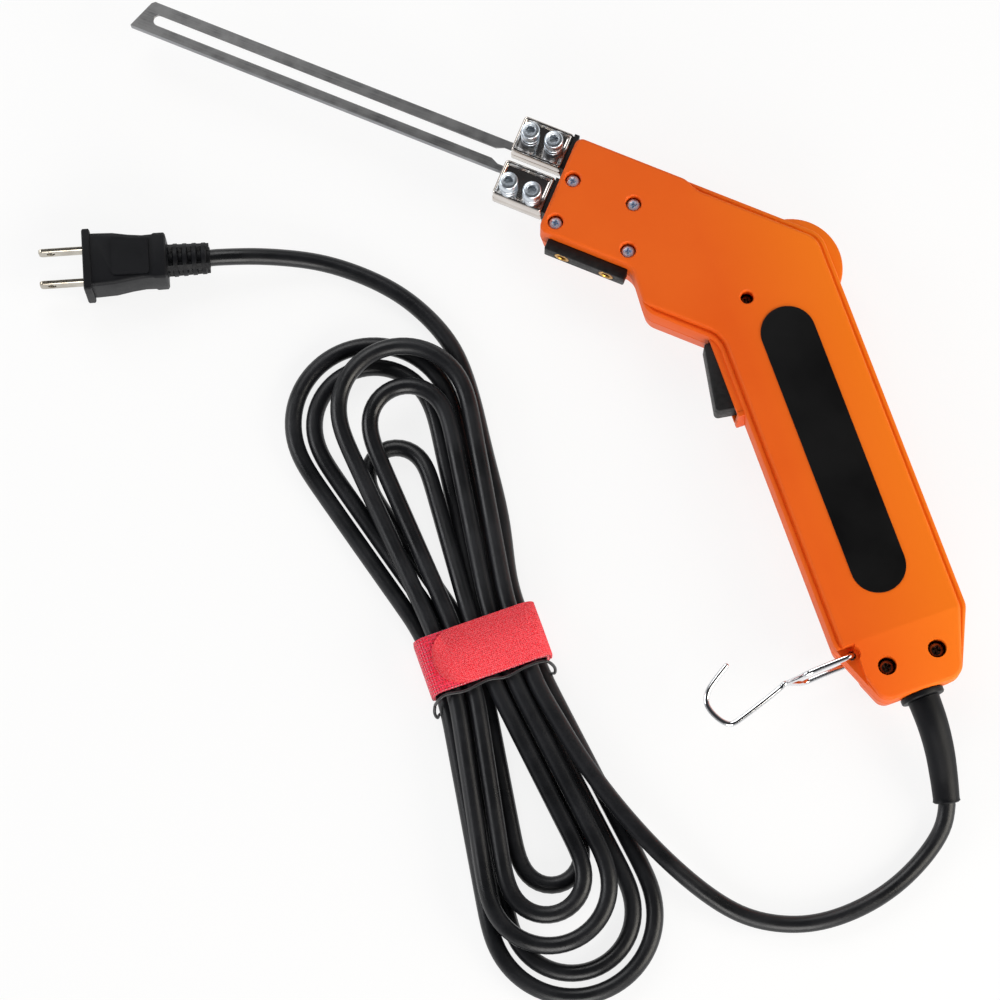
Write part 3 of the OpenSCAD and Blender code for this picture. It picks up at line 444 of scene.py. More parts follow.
class NodeSheet:
    """Adds, fills and links the nodes of one tree."""

    def __init__(self, tree: bpy.types.NodeTree) -> None:
        """Keeps the tree that the nodes go into."""
        self.tree = tree

    def socket(self, name: str, kind: str, way: str = "INPUT") -> bpy.types.NodeTreeInterfaceSocket:
        """Gives the tree an input or output of its own."""
        return self.tree.interface.new_socket(name, in_out=way, socket_type=kind)

    def ends(self) -> tuple[Sockets, Sockets]:
        """What a group is given, and what is wanted of it."""
        return self.add("NodeGroupInput").outputs, self.add("NodeGroupOutput").inputs

    def link(self, source: Socket, target: Socket) -> None:
        """Links an output to an input."""
        self.tree.links.new(source, target)

    def feed(self, target: Socket, value: object) -> None:
        """Links an input to a socket, or sets it to a value, where a linear colour gets its alpha.

        Args:
            target: The input.
            value: A socket, or the value to set.
        """
        if isinstance(value, Socket):
            self.link(value, target)
        else:
            target.default_value = (*value, 1.0) if target.type == "RGBA" and len(value) == 3 else value

    def fill(self, node: bpy.types.Node, **values: object) -> bpy.types.Node:
        """Feeds the inputs that the values name; a value that names none is a setting of the node's own.

        Args:
            node: The node.
            **values: Inputs and settings by name, with _ for a space.

        Returns:
            The node.
        """
        for key, value in values.items():
            inputs = {socket.name.lower(): socket for socket in reversed(node.inputs[:])}
            target = inputs.get(key.replace("_", " "))
            if target is None:
                setattr(node, key, value)
            else:
                self.feed(target, value)
        return node

    def add(self, kind: str, **values: object) -> bpy.types.Node:
        """Adds a node and fills it."""
        return self.fill(self.tree.nodes.new(kind), **values)

    def group(self, effect: "Effect", **values: object) -> Sockets:
        """Adds a shared group and gives its outputs."""
        return self.add("ShaderNodeGroup", node_tree=EFFECTS.tree(effect), **values).outputs

    def calc(self, how: str, a: object, b: object, kind: str = "Math", **values: object) -> Sockets:
        """Adds a Math or VectorMath node for two values and gives its outputs.

        Args:
            how: Name of the operation.
            a: First socket or value.
            b: Second socket or value.
            kind: Math or VectorMath.
            **values: More settings of the node.

        Returns:
            The node's outputs.
        """
        node = self.add(f"ShaderNode{kind}", operation=how, **values)
        for target, value in zip(node.inputs, (a, b)):
            self.feed(target, value)
        return node.outputs

    def mix(self, factor: Socket, a: object, b: object) -> Socket:
        """Mixes two colours, each a socket or a linear colour, and gives the result.

        Args:
            factor: Share of the second colour.
            a: First colour.
            b: Second colour.

        Returns:
            The mixed colour.
        """
        node = self.add("ShaderNodeMix", data_type="RGBA")
        for slot, value in ((0, factor), (6, a), (7, b)):
            self.feed(node.inputs[slot], value)
        return node.outputs[2]

    def span(self, source: Socket, low: float, high: float, to_low: float = 0.0, to_high: float = 1.0) -> Socket:
        """Maps a value from one span onto another, held at its ends."""
        return self.add("ShaderNodeMapRange", value=source, from_min=low, from_max=high, to_min=to_low,
                        to_max=to_high).outputs["Result"]

    def noise(self, vector: Socket, scale: object, detail: float, roughness: float = 0.5) -> Socket:
        """Adds a noise texture and gives its value."""
        return self.add("ShaderNodeTexNoise", vector=vector, scale=scale, detail=detail,
                        roughness=roughness).outputs["Fac"]


class Effect(Enum):
    """Shader groups that several finishes share: name, inputs and outputs."""

    PATCHES = ("patchy_tone", ("Vector", "Colour", "Second Colour", "Patch Scale", "Speck Scale", "Speck Share"),
               ("Colour", "Mask"))
    GRAIN = ("fine_grain", ("Vector", "Scale"), ("Height",))
    LINES = ("drawn_lines", ("Vector", "Stretch"), ("Height",))
    WEAR = ("edge_wear", ("Vector", "Scale", "Reach"), ("Mask",))
    WEAVE = ("woven_threads", ("Vector", "Scale"), ("Height",))


class EffectBook:
    """Builds each shared shader group once."""

    KINDS = {"Vector": "NodeSocketVector", "Stretch": "NodeSocketVector", "Colour": "NodeSocketColor",
             "Second Colour": "NodeSocketColor"}

    def __init__(self) -> None:
        """Starts with no group built."""
        self.built: dict[Effect, bpy.types.NodeTree] = {}

    def tree(self, effect: Effect) -> bpy.types.NodeTree:
        """Gives the node group of an effect, built on first use.

        Args:
            effect: The effect.

        Returns:
            Its node group.
        """
        if effect not in self.built:
            name, inputs, outputs = effect.value
            sheet = NodeSheet(bpy.data.node_groups.new(name, "ShaderNodeTree"))
            for way, labels in (("INPUT", inputs), ("OUTPUT", outputs)):
                for label in labels:
                    sheet.socket(label, self.KINDS.get(label, "NodeSocketFloat"), way)
            given, wanted = sheet.ends()
            for label, source in getattr(self, effect.name.lower())(sheet, given).items():
                sheet.link(source, wanted[label])
            self.built[effect] = sheet.tree
        return self.built[effect]

    @staticmethod
    def patches(sheet: NodeSheet, given: Sockets) -> dict[str, Socket]:
        """Soft patches of a second tone, with small specks of it.

        Args:
            sheet: Sheet of the group.
            given: The group's inputs.

        Returns:
            The socket for each output.
        """
        patch = sheet.noise(given["Vector"], given["Patch Scale"], 4.0, 0.55)
        speck = sheet.noise(given["Vector"], given["Speck Scale"], 2.0, 0.7)
        share = sheet.calc("MULTIPLY", sheet.span(speck, 0.6, 0.72), given["Speck Share"])[0]
        mask = sheet.calc("ADD", sheet.span(patch, 0.3, 0.7), share, use_clamp=True)[0]
        return {"Colour": sheet.mix(mask, given["Colour"], given["Second Colour"]), "Mask": mask}

    @staticmethod
    def grain(sheet: NodeSheet, given: Sockets) -> dict[str, Socket]:
        """The fine grain of a moulded or rubbed surface.

        Args:
            sheet: Sheet of the group.
            given: The group's inputs.

        Returns:
            The socket for each output.
        """
        noise = sheet.noise(given["Vector"], given["Scale"], 3.0, 0.6)
        cells = sheet.add("ShaderNodeTexVoronoi", feature="SMOOTH_F1", vector=given["Vector"], scale=given["Scale"])
        return {"Height": sheet.calc("ADD", noise, cells.outputs["Distance"])[0]}

    @staticmethod
    def lines(sheet: NodeSheet, given: Sockets) -> dict[str, Socket]:
        """Fine lines left by drawing, rolling or grinding, stretched along one way."""
        scaled = sheet.calc("MULTIPLY", given["Vector"], given["Stretch"], "VectorMath")[0]
        return {"Height": sheet.span(sheet.noise(scaled, 1.0, 5.0, 0.65), 0.25, 0.75)}

    @staticmethod
    def wear(sheet: NodeSheet, given: Sockets) -> dict[str, Socket]:
        """Rubbed edges, broken up by noise.

        Args:
            sheet: Sheet of the group.
            given: The group's inputs.

        Returns:
            The socket for each output.
        """
        edge = sheet.span(sheet.add("ShaderNodeNewGeometry").outputs["Pointiness"], 0.51, 0.6)
        broken = sheet.span(sheet.noise(given["Vector"], given["Scale"], 4.0), 0.42, 0.6)
        worn = sheet.calc("MULTIPLY", edge, broken)[0]
        return {"Mask": sheet.calc("MULTIPLY", worn, given["Reach"], use_clamp=True)[0]}

    @staticmethod
    def weave(sheet: NodeSheet, given: Sockets) -> dict[str, Socket]:
        """Threads that cross at right angles, a little uneven."""
        threads = [sheet.add("ShaderNodeTexWave", bands_direction=way, distortion=2.5, detail=2.0,
                             vector=given["Vector"], scale=given["Scale"]).outputs["Fac"] for way in "XY"]
        return {"Height": sheet.calc("MULTIPLY", *threads)[0]}


EFFECTS = EffectBook()


@dataclass(frozen=True)
class Finish:
    """One finish: tone, gloss and fine relief, all from nodes; a fade runs between two row points, on the shell a
    painted warm light.
    """

    name: str
    colour: Triple
    second: Triple
    metallic: float = 0.0
    rough: float = 0.4
    rough_swing: float = 0.08
    patch_scale: float = 30.0
    speck_scale: float = 900.0
    speck_share: float = 0.15
    pattern: Effect = Effect.GRAIN
    grain: float = 2500.0
    stretch: Triple = (60.0, 4000.0, 4000.0)
    depth: float = 0.00002
    strength: float = 0.25
    wear: float = 0.0
    wear_colour: Triple = (0.3, 0.3, 0.3)
    specular: float = 0.5
    sheen: float = 0.0
    streaks: bool = False
    fade: Triple | None = None
    fade_run: tuple[Vector, Vector] | None = None

    def material(self) -> bpy.types.Material:
        """Gives the material of this finish, built on first use."""
        ready = bpy.data.materials.get(self.name)
        return ready if ready is not None else self.build()

    def build(self) -> bpy.types.Material:
        """Builds the node tree of this finish.

        Returns:
            The new material.
        """
        made = bpy.data.materials.new(self.name)
        made.use_nodes = True
        made.diffuse_color = (*self.colour, 1.0)
        sheet = NodeSheet(made.node_tree)
        place = sheet.add("ShaderNodeTexCoord").outputs["Object"]
        tone = sheet.group(Effect.PATCHES, vector=place, colour=self.colour, second_colour=self.second,
                           patch_scale=self.patch_scale, speck_scale=self.speck_scale, speck_share=self.speck_share)
        relief, colour = self.relief(sheet, place), tone["Colour"]
        if self.streaks:
            colour = sheet.mix(relief, colour, self.second)
        # The fade: on the shell a painted warm light, yellower towards the handle's right side; on the blade the paler
        # ground edge.
        if self.fade is not None:
            colour = sheet.mix(self.faded(sheet, place), colour, self.fade)
        if self.wear > 0:
            worn = sheet.group(Effect.WEAR, vector=place, scale=self.patch_scale * 8, reach=self.wear)
            colour = sheet.mix(worn["Mask"], colour, self.wear_colour)
        gloss = sheet.span(sheet.calc("MULTIPLY", tone["Mask"], relief)[0], 0.0, 0.8,
                           self.rough - self.rough_swing / 2, self.rough + self.rough_swing)
        bump = sheet.add("ShaderNodeBump", strength=self.strength, distance=self.depth, height=relief)
        sheet.fill(made.node_tree.nodes["Principled BSDF"], base_color=colour, roughness=gloss,
                   normal=bump.outputs["Normal"], metallic=self.metallic, specular_ior_level=self.specular,
                   sheen_weight=self.sheen, sheen_roughness=0.4)
        return made

    def faded(self, sheet: NodeSheet, place: Socket) -> Socket:
        """How far a place lies along the run of the fade, from 0 to 1.

        Args:
            sheet: Sheet of the material.
            place: Where on the object.

        Returns:
            The share of the fade.
        """
        start, end = self.fade_run
        way = (end - start).normalized()
        reach = sheet.calc("DOT_PRODUCT", place, way, "VectorMath")["Value"]
        return sheet.span(reach, way.dot(start), way.dot(end))

    def relief(self, sheet: NodeSheet, place: Socket) -> Socket:
        """Gives the height of the fine relief at a place.

        Args:
            sheet: Sheet of the material.
            place: Where on the object.

        Returns:
            The height.
        """
        if self.pattern is Effect.WEAVE:
            place = sheet.add("ShaderNodeUVMap", uv_map="surface").outputs["UV"]
        size = {"stretch": self.stretch} if self.pattern is Effect.LINES else {"scale": self.grain}
        return sheet.group(self.pattern, vector=place, **size)["Height"]


class Finishes:
    """The finishes of this object."""

    # The shell's fade is painted light: the orange turns yellower across the handle towards its right side, as if a
    # warm lamp shone from the right.
    SHELL = Finish("orange_plastic", srgb(222, 86, 15), srgb(230, 97, 20), rough=0.48, rough_swing=0.06,
                   patch_scale=14.0, speck_share=0.03, grain=2600.0, depth=0.000012, strength=0.12, specular=0.2,
                   fade=srgb(239, 117, 17), fade_run=(TOOL.grip(0, 8, 0), TOOL.grip(0, 48, 0)))
    LABEL = Finish("label_film", srgb(5, 5, 6), srgb(8, 8, 9), rough=0.42, patch_scale=45.0, grain=3000.0,
                   strength=0.05, specular=0.2)
    ZINC = Finish("zinc_plate", srgb(206, 216, 226), srgb(224, 230, 236), metallic=1.0, rough=0.34, rough_swing=0.1,
                  patch_scale=260.0, pattern=Effect.LINES, stretch=(2500.0, 2500.0, 500.0), strength=0.12)
    # Painted glints: a near-white, bluish, hardly metallic copy of the zinc, so the heads stay bright in their shaded
    # wells.
    BRIGHT_ZINC = Finish("zinc_painted_glint", srgb(184, 220, 252), srgb(228, 243, 255), metallic=0.15, rough=0.28,
                         patch_scale=420.0, pattern=Effect.LINES, stretch=(2500.0, 2500.0, 500.0), strength=0.12)
    BLACK_SCREW = Finish("blackened_steel", srgb(84, 70, 60), srgb(134, 114, 98), metallic=0.9, rough=0.22,
                         patch_scale=420.0, wear=0.9, wear_colour=srgb(150, 130, 112))
    BLACK_PLASTIC = Finish("black_moulding", srgb(12, 12, 13), srgb(22, 22, 24), rough=0.5, rough_swing=0.14,
                           patch_scale=500.0, speck_scale=1500.0, speck_share=0.3, grain=1300.0, depth=0.00006,
                           strength=0.6, specular=0.35)
    NICKEL = Finish("nickel_plate", srgb(196, 188, 182), srgb(214, 208, 202), metallic=1.0, rough=0.12,
                    patch_scale=120.0, pattern=Effect.LINES, stretch=(80.0, 3000.0, 3000.0), strength=0.06)
    BLADE = Finish("ground_steel", srgb(70, 70, 71), srgb(132, 132, 132), metallic=1.0, rough=0.42,
                   rough_swing=0.16, patch_scale=160.0, speck_share=0.05, pattern=Effect.LINES, streaks=True,
                   stretch=(16.0, 1500.0, 1500.0), depth=0.00004, strength=0.5, fade=srgb(168, 169, 172),
                   fade_run=(TOOL.at(0, BLADE_LOW + 0.72, 0), TOOL.at(0, BLADE_LOW + 0.62, 0)))
    BRASS = Finish("plain_brass", srgb(206, 160, 74), srgb(176, 128, 52), metallic=1.0, rough=0.26, patch_scale=300.0)
    PIN_NICKEL = Finish("plated_pins", srgb(190, 184, 172), srgb(158, 150, 136), metallic=1.0, rough=0.2,
                        patch_scale=160.0, pattern=Effect.LINES, stretch=(150.0, 2600.0, 2600.0), strength=0.15)
    SPRING = Finish("spring_wire", srgb(150, 152, 156), srgb(120, 122, 126), metallic=1.0, rough=0.3)
    RED = Finish("red_moulding", srgb(168, 48, 30), srgb(186, 62, 40), rough=0.45)
    CORE = Finish("core_sheets", srgb(120, 122, 126), srgb(92, 94, 98), metallic=1.0, rough=0.45,
                  pattern=Effect.LINES, stretch=(2000.0, 40.0, 40.0), strength=0.6)
    FORMER = Finish("pale_moulding", srgb(214, 204, 172), srgb(200, 188, 152), rough=0.5)
    COPPER = Finish("copper", srgb(190, 112, 70), srgb(160, 86, 52), metallic=1.0, rough=0.3,
                    pattern=Effect.LINES, stretch=(40.0, 40.0, 2600.0), strength=0.5)
    BROWN = Finish("brown_insulation", srgb(96, 58, 34), srgb(110, 70, 44), rough=0.5)
    BLUE = Finish("blue_insulation", srgb(46, 92, 166), srgb(58, 104, 178), rough=0.5)
    BLACK = Finish("black_insulation", srgb(28, 28, 29), srgb(38, 38, 40), rough=0.5)
    RUBBER = Finish("cord_rubber", srgb(16, 17, 19), srgb(24, 25, 29), rough=0.31, rough_swing=0.14, patch_scale=50.0,
                    speck_scale=1600.0, speck_share=0.25, grain=1500.0, depth=0.00003, strength=0.3, specular=0.4)
    PLUG = Finish("plug_rubber", srgb(10, 11, 14), srgb(17, 18, 22), rough=0.44, rough_swing=0.12, patch_scale=55.0,
                  speck_share=0.2, grain=2000.0, depth=0.00003, strength=0.35, specular=0.2)
    CHROME = Finish("bright_wire", srgb(168, 165, 162), srgb(186, 184, 182), metallic=1.0, rough=0.08,
                    rough_swing=0.05, patch_scale=200.0, strength=0.03)
    STRAP = Finish("hook_and_loop", srgb(244, 20, 40), srgb(255, 108, 116), rough=0.9, rough_swing=0.1,
                   patch_scale=1700.0, speck_scale=2600.0, speck_share=0.6, pattern=Effect.WEAVE, grain=420.0,
                   depth=0.0004, strength=0.8, sheen=0.08, specular=0.15)
    PILE = Finish("strap_pile", srgb(246, 26, 54), srgb(255, 76, 104), rough=0.95, rough_swing=0.05,
                  patch_scale=800.0, speck_scale=1900.0, speck_share=0.5, pattern=Effect.WEAVE, grain=260.0,
                  depth=0.0008, strength=1.0, sheen=0.5, specular=0.2)
    TIE = Finish("tie_coating", srgb(20, 20, 21), srgb(34, 34, 36), rough=0.3, grain=1200.0)


class RepeatTree:
    """A Geometry Nodes tree that sets a template on every point, turned and sized by the point's own values."""

    INPUTS = {"Geometry": "NodeSocketGeometry", "Template": "NodeSocketObject", "Spin": "NodeSocketFloat",
              "Seed": "NodeSocketInt", "Finish": "NodeSocketMaterial"}

    def __init__(self, name: str) -> None:
        """Builds the tree.

        Args:
            name: Name of the tree.
        """
        self.tree = bpy.data.node_groups.new(name, "GeometryNodeTree")
        sheet = NodeSheet(self.tree)
        self.ids = {label: sheet.socket(label, kind).identifier for label, kind in self.INPUTS.items()}
        sheet.socket("Geometry", self.INPUTS["Geometry"], "OUTPUT")
        given, wanted = sheet.ends()
        template = sheet.add("GeometryNodeObjectInfo", object=given["Template"])
        turn, size = (sheet.add("GeometryNodeInputNamedAttribute", data_type="FLOAT_VECTOR", name=label).outputs[0]
                      for label in ("turn", "size"))
        spin = sheet.add("FunctionNodeRandomValue", data_type="FLOAT", seed=given["Seed"])
        sheet.link(given["Spin"], spin.inputs[3])
        around = sheet.add("ShaderNodeCombineXYZ", z=spin.outputs[1])
        whole = sheet.add("FunctionNodeRotateRotation", rotation_space="LOCAL")
        sheet.link(turn, whole.inputs[0])
        sheet.link(around.outputs[0], whole.inputs[1])
        spread = sheet.add("GeometryNodeInstanceOnPoints", points=given["Geometry"],
                           instance=template.outputs["Geometry"], rotation=whole.outputs[0], scale=size)
        real = sheet.add("GeometryNodeRealizeInstances", geometry=spread.outputs[0])
        dress = sheet.add("GeometryNodeSetMaterial", geometry=real.outputs[0], material=given["Finish"])
        sheet.link(dress.outputs[0], wanted["Geometry"])

    def spread(self, name: str, template: Object, spots: Sequence[Vector], finish: Finish,
               turns: Sequence[Vector] | None = None, sizes: Sequence[Vector] | None = None, spin: float = 0.0,
               seed: int = 1) -> Object:
        """Makes one plain mesh of the template set on every spot.

        Args:
            name: Name of the piece.
            template: Object to repeat, at the origin; it is used up.
            spots: Row points in metres.
            finish: Finish of the piece.
            turns: Turn of each copy as angles about X, Y and Z.
            sizes: Size of each copy.
            spin: Most that a copy is spun about its own axis, at random, in radians.
            seed: Seed of the spins.

        Returns:
            The piece, at the origin, with no modifier left.
        """
        data, made = bpy.data.meshes.new(name), finish.material()
        data.from_pydata([tuple(spot) for spot in spots], [], [])
        for label, rows in (("turn", turns or [Vector()] * len(spots)),
                            ("size", sizes or [Vector((1, 1, 1))] * len(spots))):
            values = [value for row in rows for value in row]
            data.attributes.new(label, "FLOAT_VECTOR", "POINT").data.foreach_set("vector", values)
        piece = put(name, data)
        grow = piece.modifiers.new("repeat", "NODES")
        grow.node_group = self.tree
        for label, value in (("Template", template), ("Spin", spin), ("Seed", seed), ("Finish", made)):
            grow[self.ids[label]] = value
        settle(piece)
        piece.data.materials.clear()
        piece.data.materials.append(made)
        piece.data.polygons.foreach_set("material_index", [0] * len(piece.data.polygons))
        discard(template)
        return piece


REPEAT = RepeatTree("repeat_on_points")


def hand_over(piece: Object, slot: str, *nodes: str, body: str = "housing") -> Object:
    """Sets a finished piece on its body and in place of its solids, and reports it.

    Args:
        piece: The finished piece.
        slot: The record's material slot; not used.
        *nodes: The solids that it stands for.
        body: The body that it rides on.

    Returns:
        The piece.
    """
    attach(piece, body)
    if nodes:
        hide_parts(*nodes)
    LOG.info("%s: %d faces on %s", piece.name, len(piece.data.polygons), body)
    return piece


@dataclass
class Studio:
    """Camera, lamps and floor; a lamp has its place from the middle, size, power and tone."""

    eye: Triple = (158.3, -439.4, 1458.6)
    aim: Triple = (24.27, -115.85, 0.0)
    up: Triple = (-0.3827, 0.9239, 0.0)
    lens: float = 142.8
    lamps: tuple[tuple[str, Triple, float, float, Triple], ...] = (
        ("window", (-0.75, 0.85, 1.0), 0.9, 8.4, (1.0, 1.0, 1.0)),
        ("fill", (1.05, 0.1, 0.5), 0.8, 10.5, (1.0, 0.95, 0.85)),
        ("front", (0.6, -1.15, 0.5), 0.9, 13.5, (1.0, 0.98, 0.95)),
        ("left", (-1.2, -0.3, 0.6), 0.7, 6.0, (0.97, 0.98, 1.0)))
    floor_reach: float = 4.0
    floor_low: float = -0.0003
    floor_tone: float = 0.93
    floor_glow: float = 0.84
    sky_low: Triple = (0.75, 0.75, 0.76)
    sky_high: Triple = (0.06, 0.06, 0.065)
    sky_strength: float = 0.68

    def build(self) -> None:
        """Sets up the camera, the lamps, the floor and the sky."""
        scene = bpy.context.scene
        scene.view_settings.view_transform = "Standard"
        self.set_camera(scene)
        for lamp in self.lamps:
            self.add_lamp(*lamp)
        self.add_floor()
        self.set_sky(scene)

    def set_camera(self, scene: bpy.types.Scene) -> None:
        """Puts the camera where the photograph was taken from.

        Args:
            scene: The scene.
        """
        eye, aim = TOOL.at(*self.eye), TOOL.at(*self.aim)
        back = (eye - aim).normalized()
        side = Vector(self.up).cross(back).normalized()
        camera = bpy.data.objects.new("camera", bpy.data.cameras.new("camera"))
        camera.data.lens, camera.data.sensor_width = self.lens, 36.0
        camera.data.clip_start, camera.data.clip_end = 0.05, 30.0
        camera.matrix_world = Matrix((side, back.cross(side), back)).transposed().to_4x4()
        camera.location = eye
        scene.collection.objects.link(camera)
        scene.camera = camera

    def add_lamp(self, name: str, spot: Triple, size: float, power: float, tone: Triple) -> None:
        """Adds one soft lamp turned to the middle.

        Args:
            name: Name of the lamp.
            spot: Its place from the middle, in metres.
            size: Length of its sides, in metres.
            power: Its power in watts.
            tone: Its linear colour.
        """
        lamp = bpy.data.lights.new(name, "AREA")
        lamp.shape, lamp.size, lamp.energy, lamp.color = "SQUARE", size, power, tone
        holder = bpy.data.objects.new(name, lamp)
        holder.location = TOOL.at(*self.aim) + Vector(spot)
        holder.rotation_euler = (TOOL.at(*self.aim) - holder.location).to_track_quat("-Z", "Y").to_euler()
        bpy.context.scene.collection.objects.link(holder)

    def add_floor(self) -> None:
        """Adds a white floor that keeps a soft shadow."""
        data, made = bpy.data.meshes.new("floor"), bpy.data.materials.new("white_floor")
        reach, low = self.floor_reach, self.floor_low
        data.from_pydata([(x, y, low) for x, y, _ in box(-reach, -reach, reach, reach, 0)], [], [(0, 1, 2, 3)])
        data.materials.append(made)
        made.use_nodes = True
        made.node_tree.nodes.clear()
        sheet = NodeSheet(made.node_tree)
        rays = sheet.add("ShaderNodeLightPath").outputs
        seen = rays["Is Camera Ray"]
        for ray in ("Is Glossy Ray", "Is Transmission Ray"):
            seen = sheet.calc("MAXIMUM", seen, rays[ray])[0]
        blend = sheet.add("ShaderNodeMixShader", fac=sheet.calc("MULTIPLY", seen, self.floor_glow)[0])
        sheet.link(sheet.add("ShaderNodeBsdfDiffuse", color=(self.floor_tone,) * 3).outputs[0], blend.inputs[1])
        sheet.link(sheet.add("ShaderNodeEmission", color=(1.0, 1.0, 1.0), strength=1.0).outputs[0], blend.inputs[2])
        sheet.add("ShaderNodeOutputMaterial", surface=blend.outputs[0])
        put("floor", data)

    def set_sky(self, scene: bpy.types.Scene) -> None:
        """A sky that is pale low down and dim overhead, as under a dark studio ceiling.

        Args:
            scene: The scene.
        """
        scene.world = bpy.data.worlds.new("studio")
        scene.world.use_nodes = True
        sheet = NodeSheet(scene.world.node_tree)
        split = sheet.add("ShaderNodeSeparateXYZ", vector=sheet.add("ShaderNodeTexCoord").outputs["Generated"])
        tone = sheet.mix(sheet.span(split.outputs["Z"], 0.2, 0.68), self.sky_low, self.sky_high)
        sheet.fill(sheet.tree.nodes["Background"], color=tone, strength=self.sky_strength)


@dataclass
class Plug:
    """The moulded plug with its ribbed relief and flat pins."""

    at: Triple = (-113.0, -72.6, 10.0)
    turn: float = math.radians(206.5)
    ribs: int = 5
    rib_len: float = 17.5
    rib_radius: float = 6.1
    rib_first: float = 2.5
    rib_step: float = 3.6
    rib_growth: float = 0.1
    bar_radius: float = 5.9
    bar_taper: float = 0.03
    length: float = 45.0
    flange: float = 3.0
    pin_len: float = 17.3
    pin_gap: float = 12.7
    pin_half: float = 3.175
    pin_hole: float = 1.6
    pin_hole_back: float = 4.6

    @property
    def way(self) -> Vector:
        """The way from the cord to the pins."""
        return Vector((math.cos(self.turn), math.sin(self.turn), 0.0))

    def place(self, along: float, across: float, up: float) -> Vector:
        """The row point of a point on the plug, in mm along, across and above its middle line."""
        c, s = math.cos(self.turn), math.sin(self.turn)
        return TOOL.at(self.at[0] + along * c - across * s, self.at[1] + along * s + across * c, self.at[2] + up)

    def section(self, along: float, half_w: float, half_h: float, radius: float) -> Loop:
        """A rounded section across the plug."""
        return [self.place(along, p.x, p.y) for p in outline(box(-half_w, -half_h, half_w, half_h, radius), 5)]

    def bridge(self, along: float, turn: float) -> Loop:
        """A section of one of the bars that join the ribs."""
        radius = self.bar_radius + self.bar_taper * along
        return [self.place(along, r * math.cos(turn) - w * math.sin(turn), r * math.sin(turn) + w * math.cos(turn))
                for r, w in ((3.0, -1.4), (radius, -1.1), (radius, 1.1), (3.0, 1.4))]

    def build(self) -> list[Object]:
        """Makes the plug's pieces.

        Returns:
            Body, ribs and pins.
        """
        start, end, rim = self.rib_len - 1.0, self.length, self.length + self.flange
        grip = ((start, 8.3, 8.2, 1.2), (start + 0.5, 9.0, 8.9, 1.4), (start + 4.4, 9.0, 9.0, 1.4),
                (start + 5.2, 8.6, 8.8, 1.4), (start + 9.0, 8.6, 8.6, 1.6), (start + 14.0, 9.2, 8.7, 1.8),
                (start + 20.0, 10.2, 9.0, 1.8), (end - 1.5, 10.5, 9.0, 1.8), (end + 0.4, 10.5, 9.0, 1.8))
        plate = ((end, 11.6, 9.6, 1.0), (end + 0.4, 12.0, 10.0, 1.0), (rim - 0.4, 12.0, 10.0, 1.0),
                 (rim, 11.6, 9.6, 1.0))
        body = Shape()
        for form in (grip, plate):
            body.rings([self.section(*row) for row in form])
        core = ((0.1, 3.5), (0.3, 4.3), (self.rib_len, 4.3))
        body.rings([[self.place(x, r * math.cos(w), r * math.sin(w)) for w in circle(24)] for x, r in core])
        for turn in circle(4, 0.5):
            body.rings([self.bridge(x, turn) for x in (0.4, self.rib_len)])
        piece = body.piece("plug_moulding", Finishes.PLUG)
        pad = box(self.rib_len + 5.5, -7.0, self.length - 8.0, 7.0, 1.0)
        carve(piece, [Shape().rings(stack(pad, ((7.9, 0.0), (9.6, 0.0)), 4, self.place))])
        hand_over(piece, "black_rubber", "plug_body")
        return [piece, self.build_ribs(), self.build_pins()]

    def build_ribs(self) -> Object:
        """Sets the rings of the relief along the cord, each a little larger.

        Returns:
            The ribs.
        """
        profile = [(0.82, -1.1), (0.95, -0.95), (1.0, -0.7), (1.0, 0.7), (0.95, 0.95), (0.82, 1.1)]
        ring = Shape().turned(profile, sides=32).piece("rib")
        turn = Vector(self.way.to_track_quat("Z", "Y").to_euler())
        spots = [self.place(self.rib_first + k * self.rib_step, 0, 0) for k in range(self.ribs)]
        radii = [self.rib_radius + self.rib_growth * k for k in range(self.ribs)]
        sizes = [Vector((radius, radius, 1.0)) for radius in radii]
        ribs = REPEAT.spread("plug_ribs", ring, spots, Finishes.PLUG, [turn] * self.ribs, sizes)
        return hand_over(ribs, "black_rubber")

    def build_pins(self) -> Object:
        """Makes the two flat pins, each with a rounded end and a hole.

        Returns:
            The pins.
        """
        end, tip, half = self.length - 5.9, self.length + self.flange + self.pin_len, self.pin_half
        corners = [(end, -half, 0.3), (tip, -half, 1.6), (tip, half, 1.6), (end, half, 0.3)]
        levels = ((-0.75, 0.25), (-0.5, 0.0), (0.5, 0.0), (0.75, 0.25))
        across = self.place(0, 1, 0) - self.place(0, 0, 0)
        shape, holes = Shape(), []
        for y in (-self.pin_gap / 2, self.pin_gap / 2):
            shape.rings(stack(corners, levels, 6, lambda x, up, lift: self.place(x, y + lift, up)))
            spot = self.place(tip - self.pin_hole_back, y, 0)
            holes.append(Shape().turned([(self.pin_hole, -2.0), (self.pin_hole, 2.0)], spot, across, 20))
        pins = shape.piece("plug_pins", Finishes.PIN_NICKEL)
        carve(pins, holes)
        return hand_over(pins, "nickel", "plug_prongs")


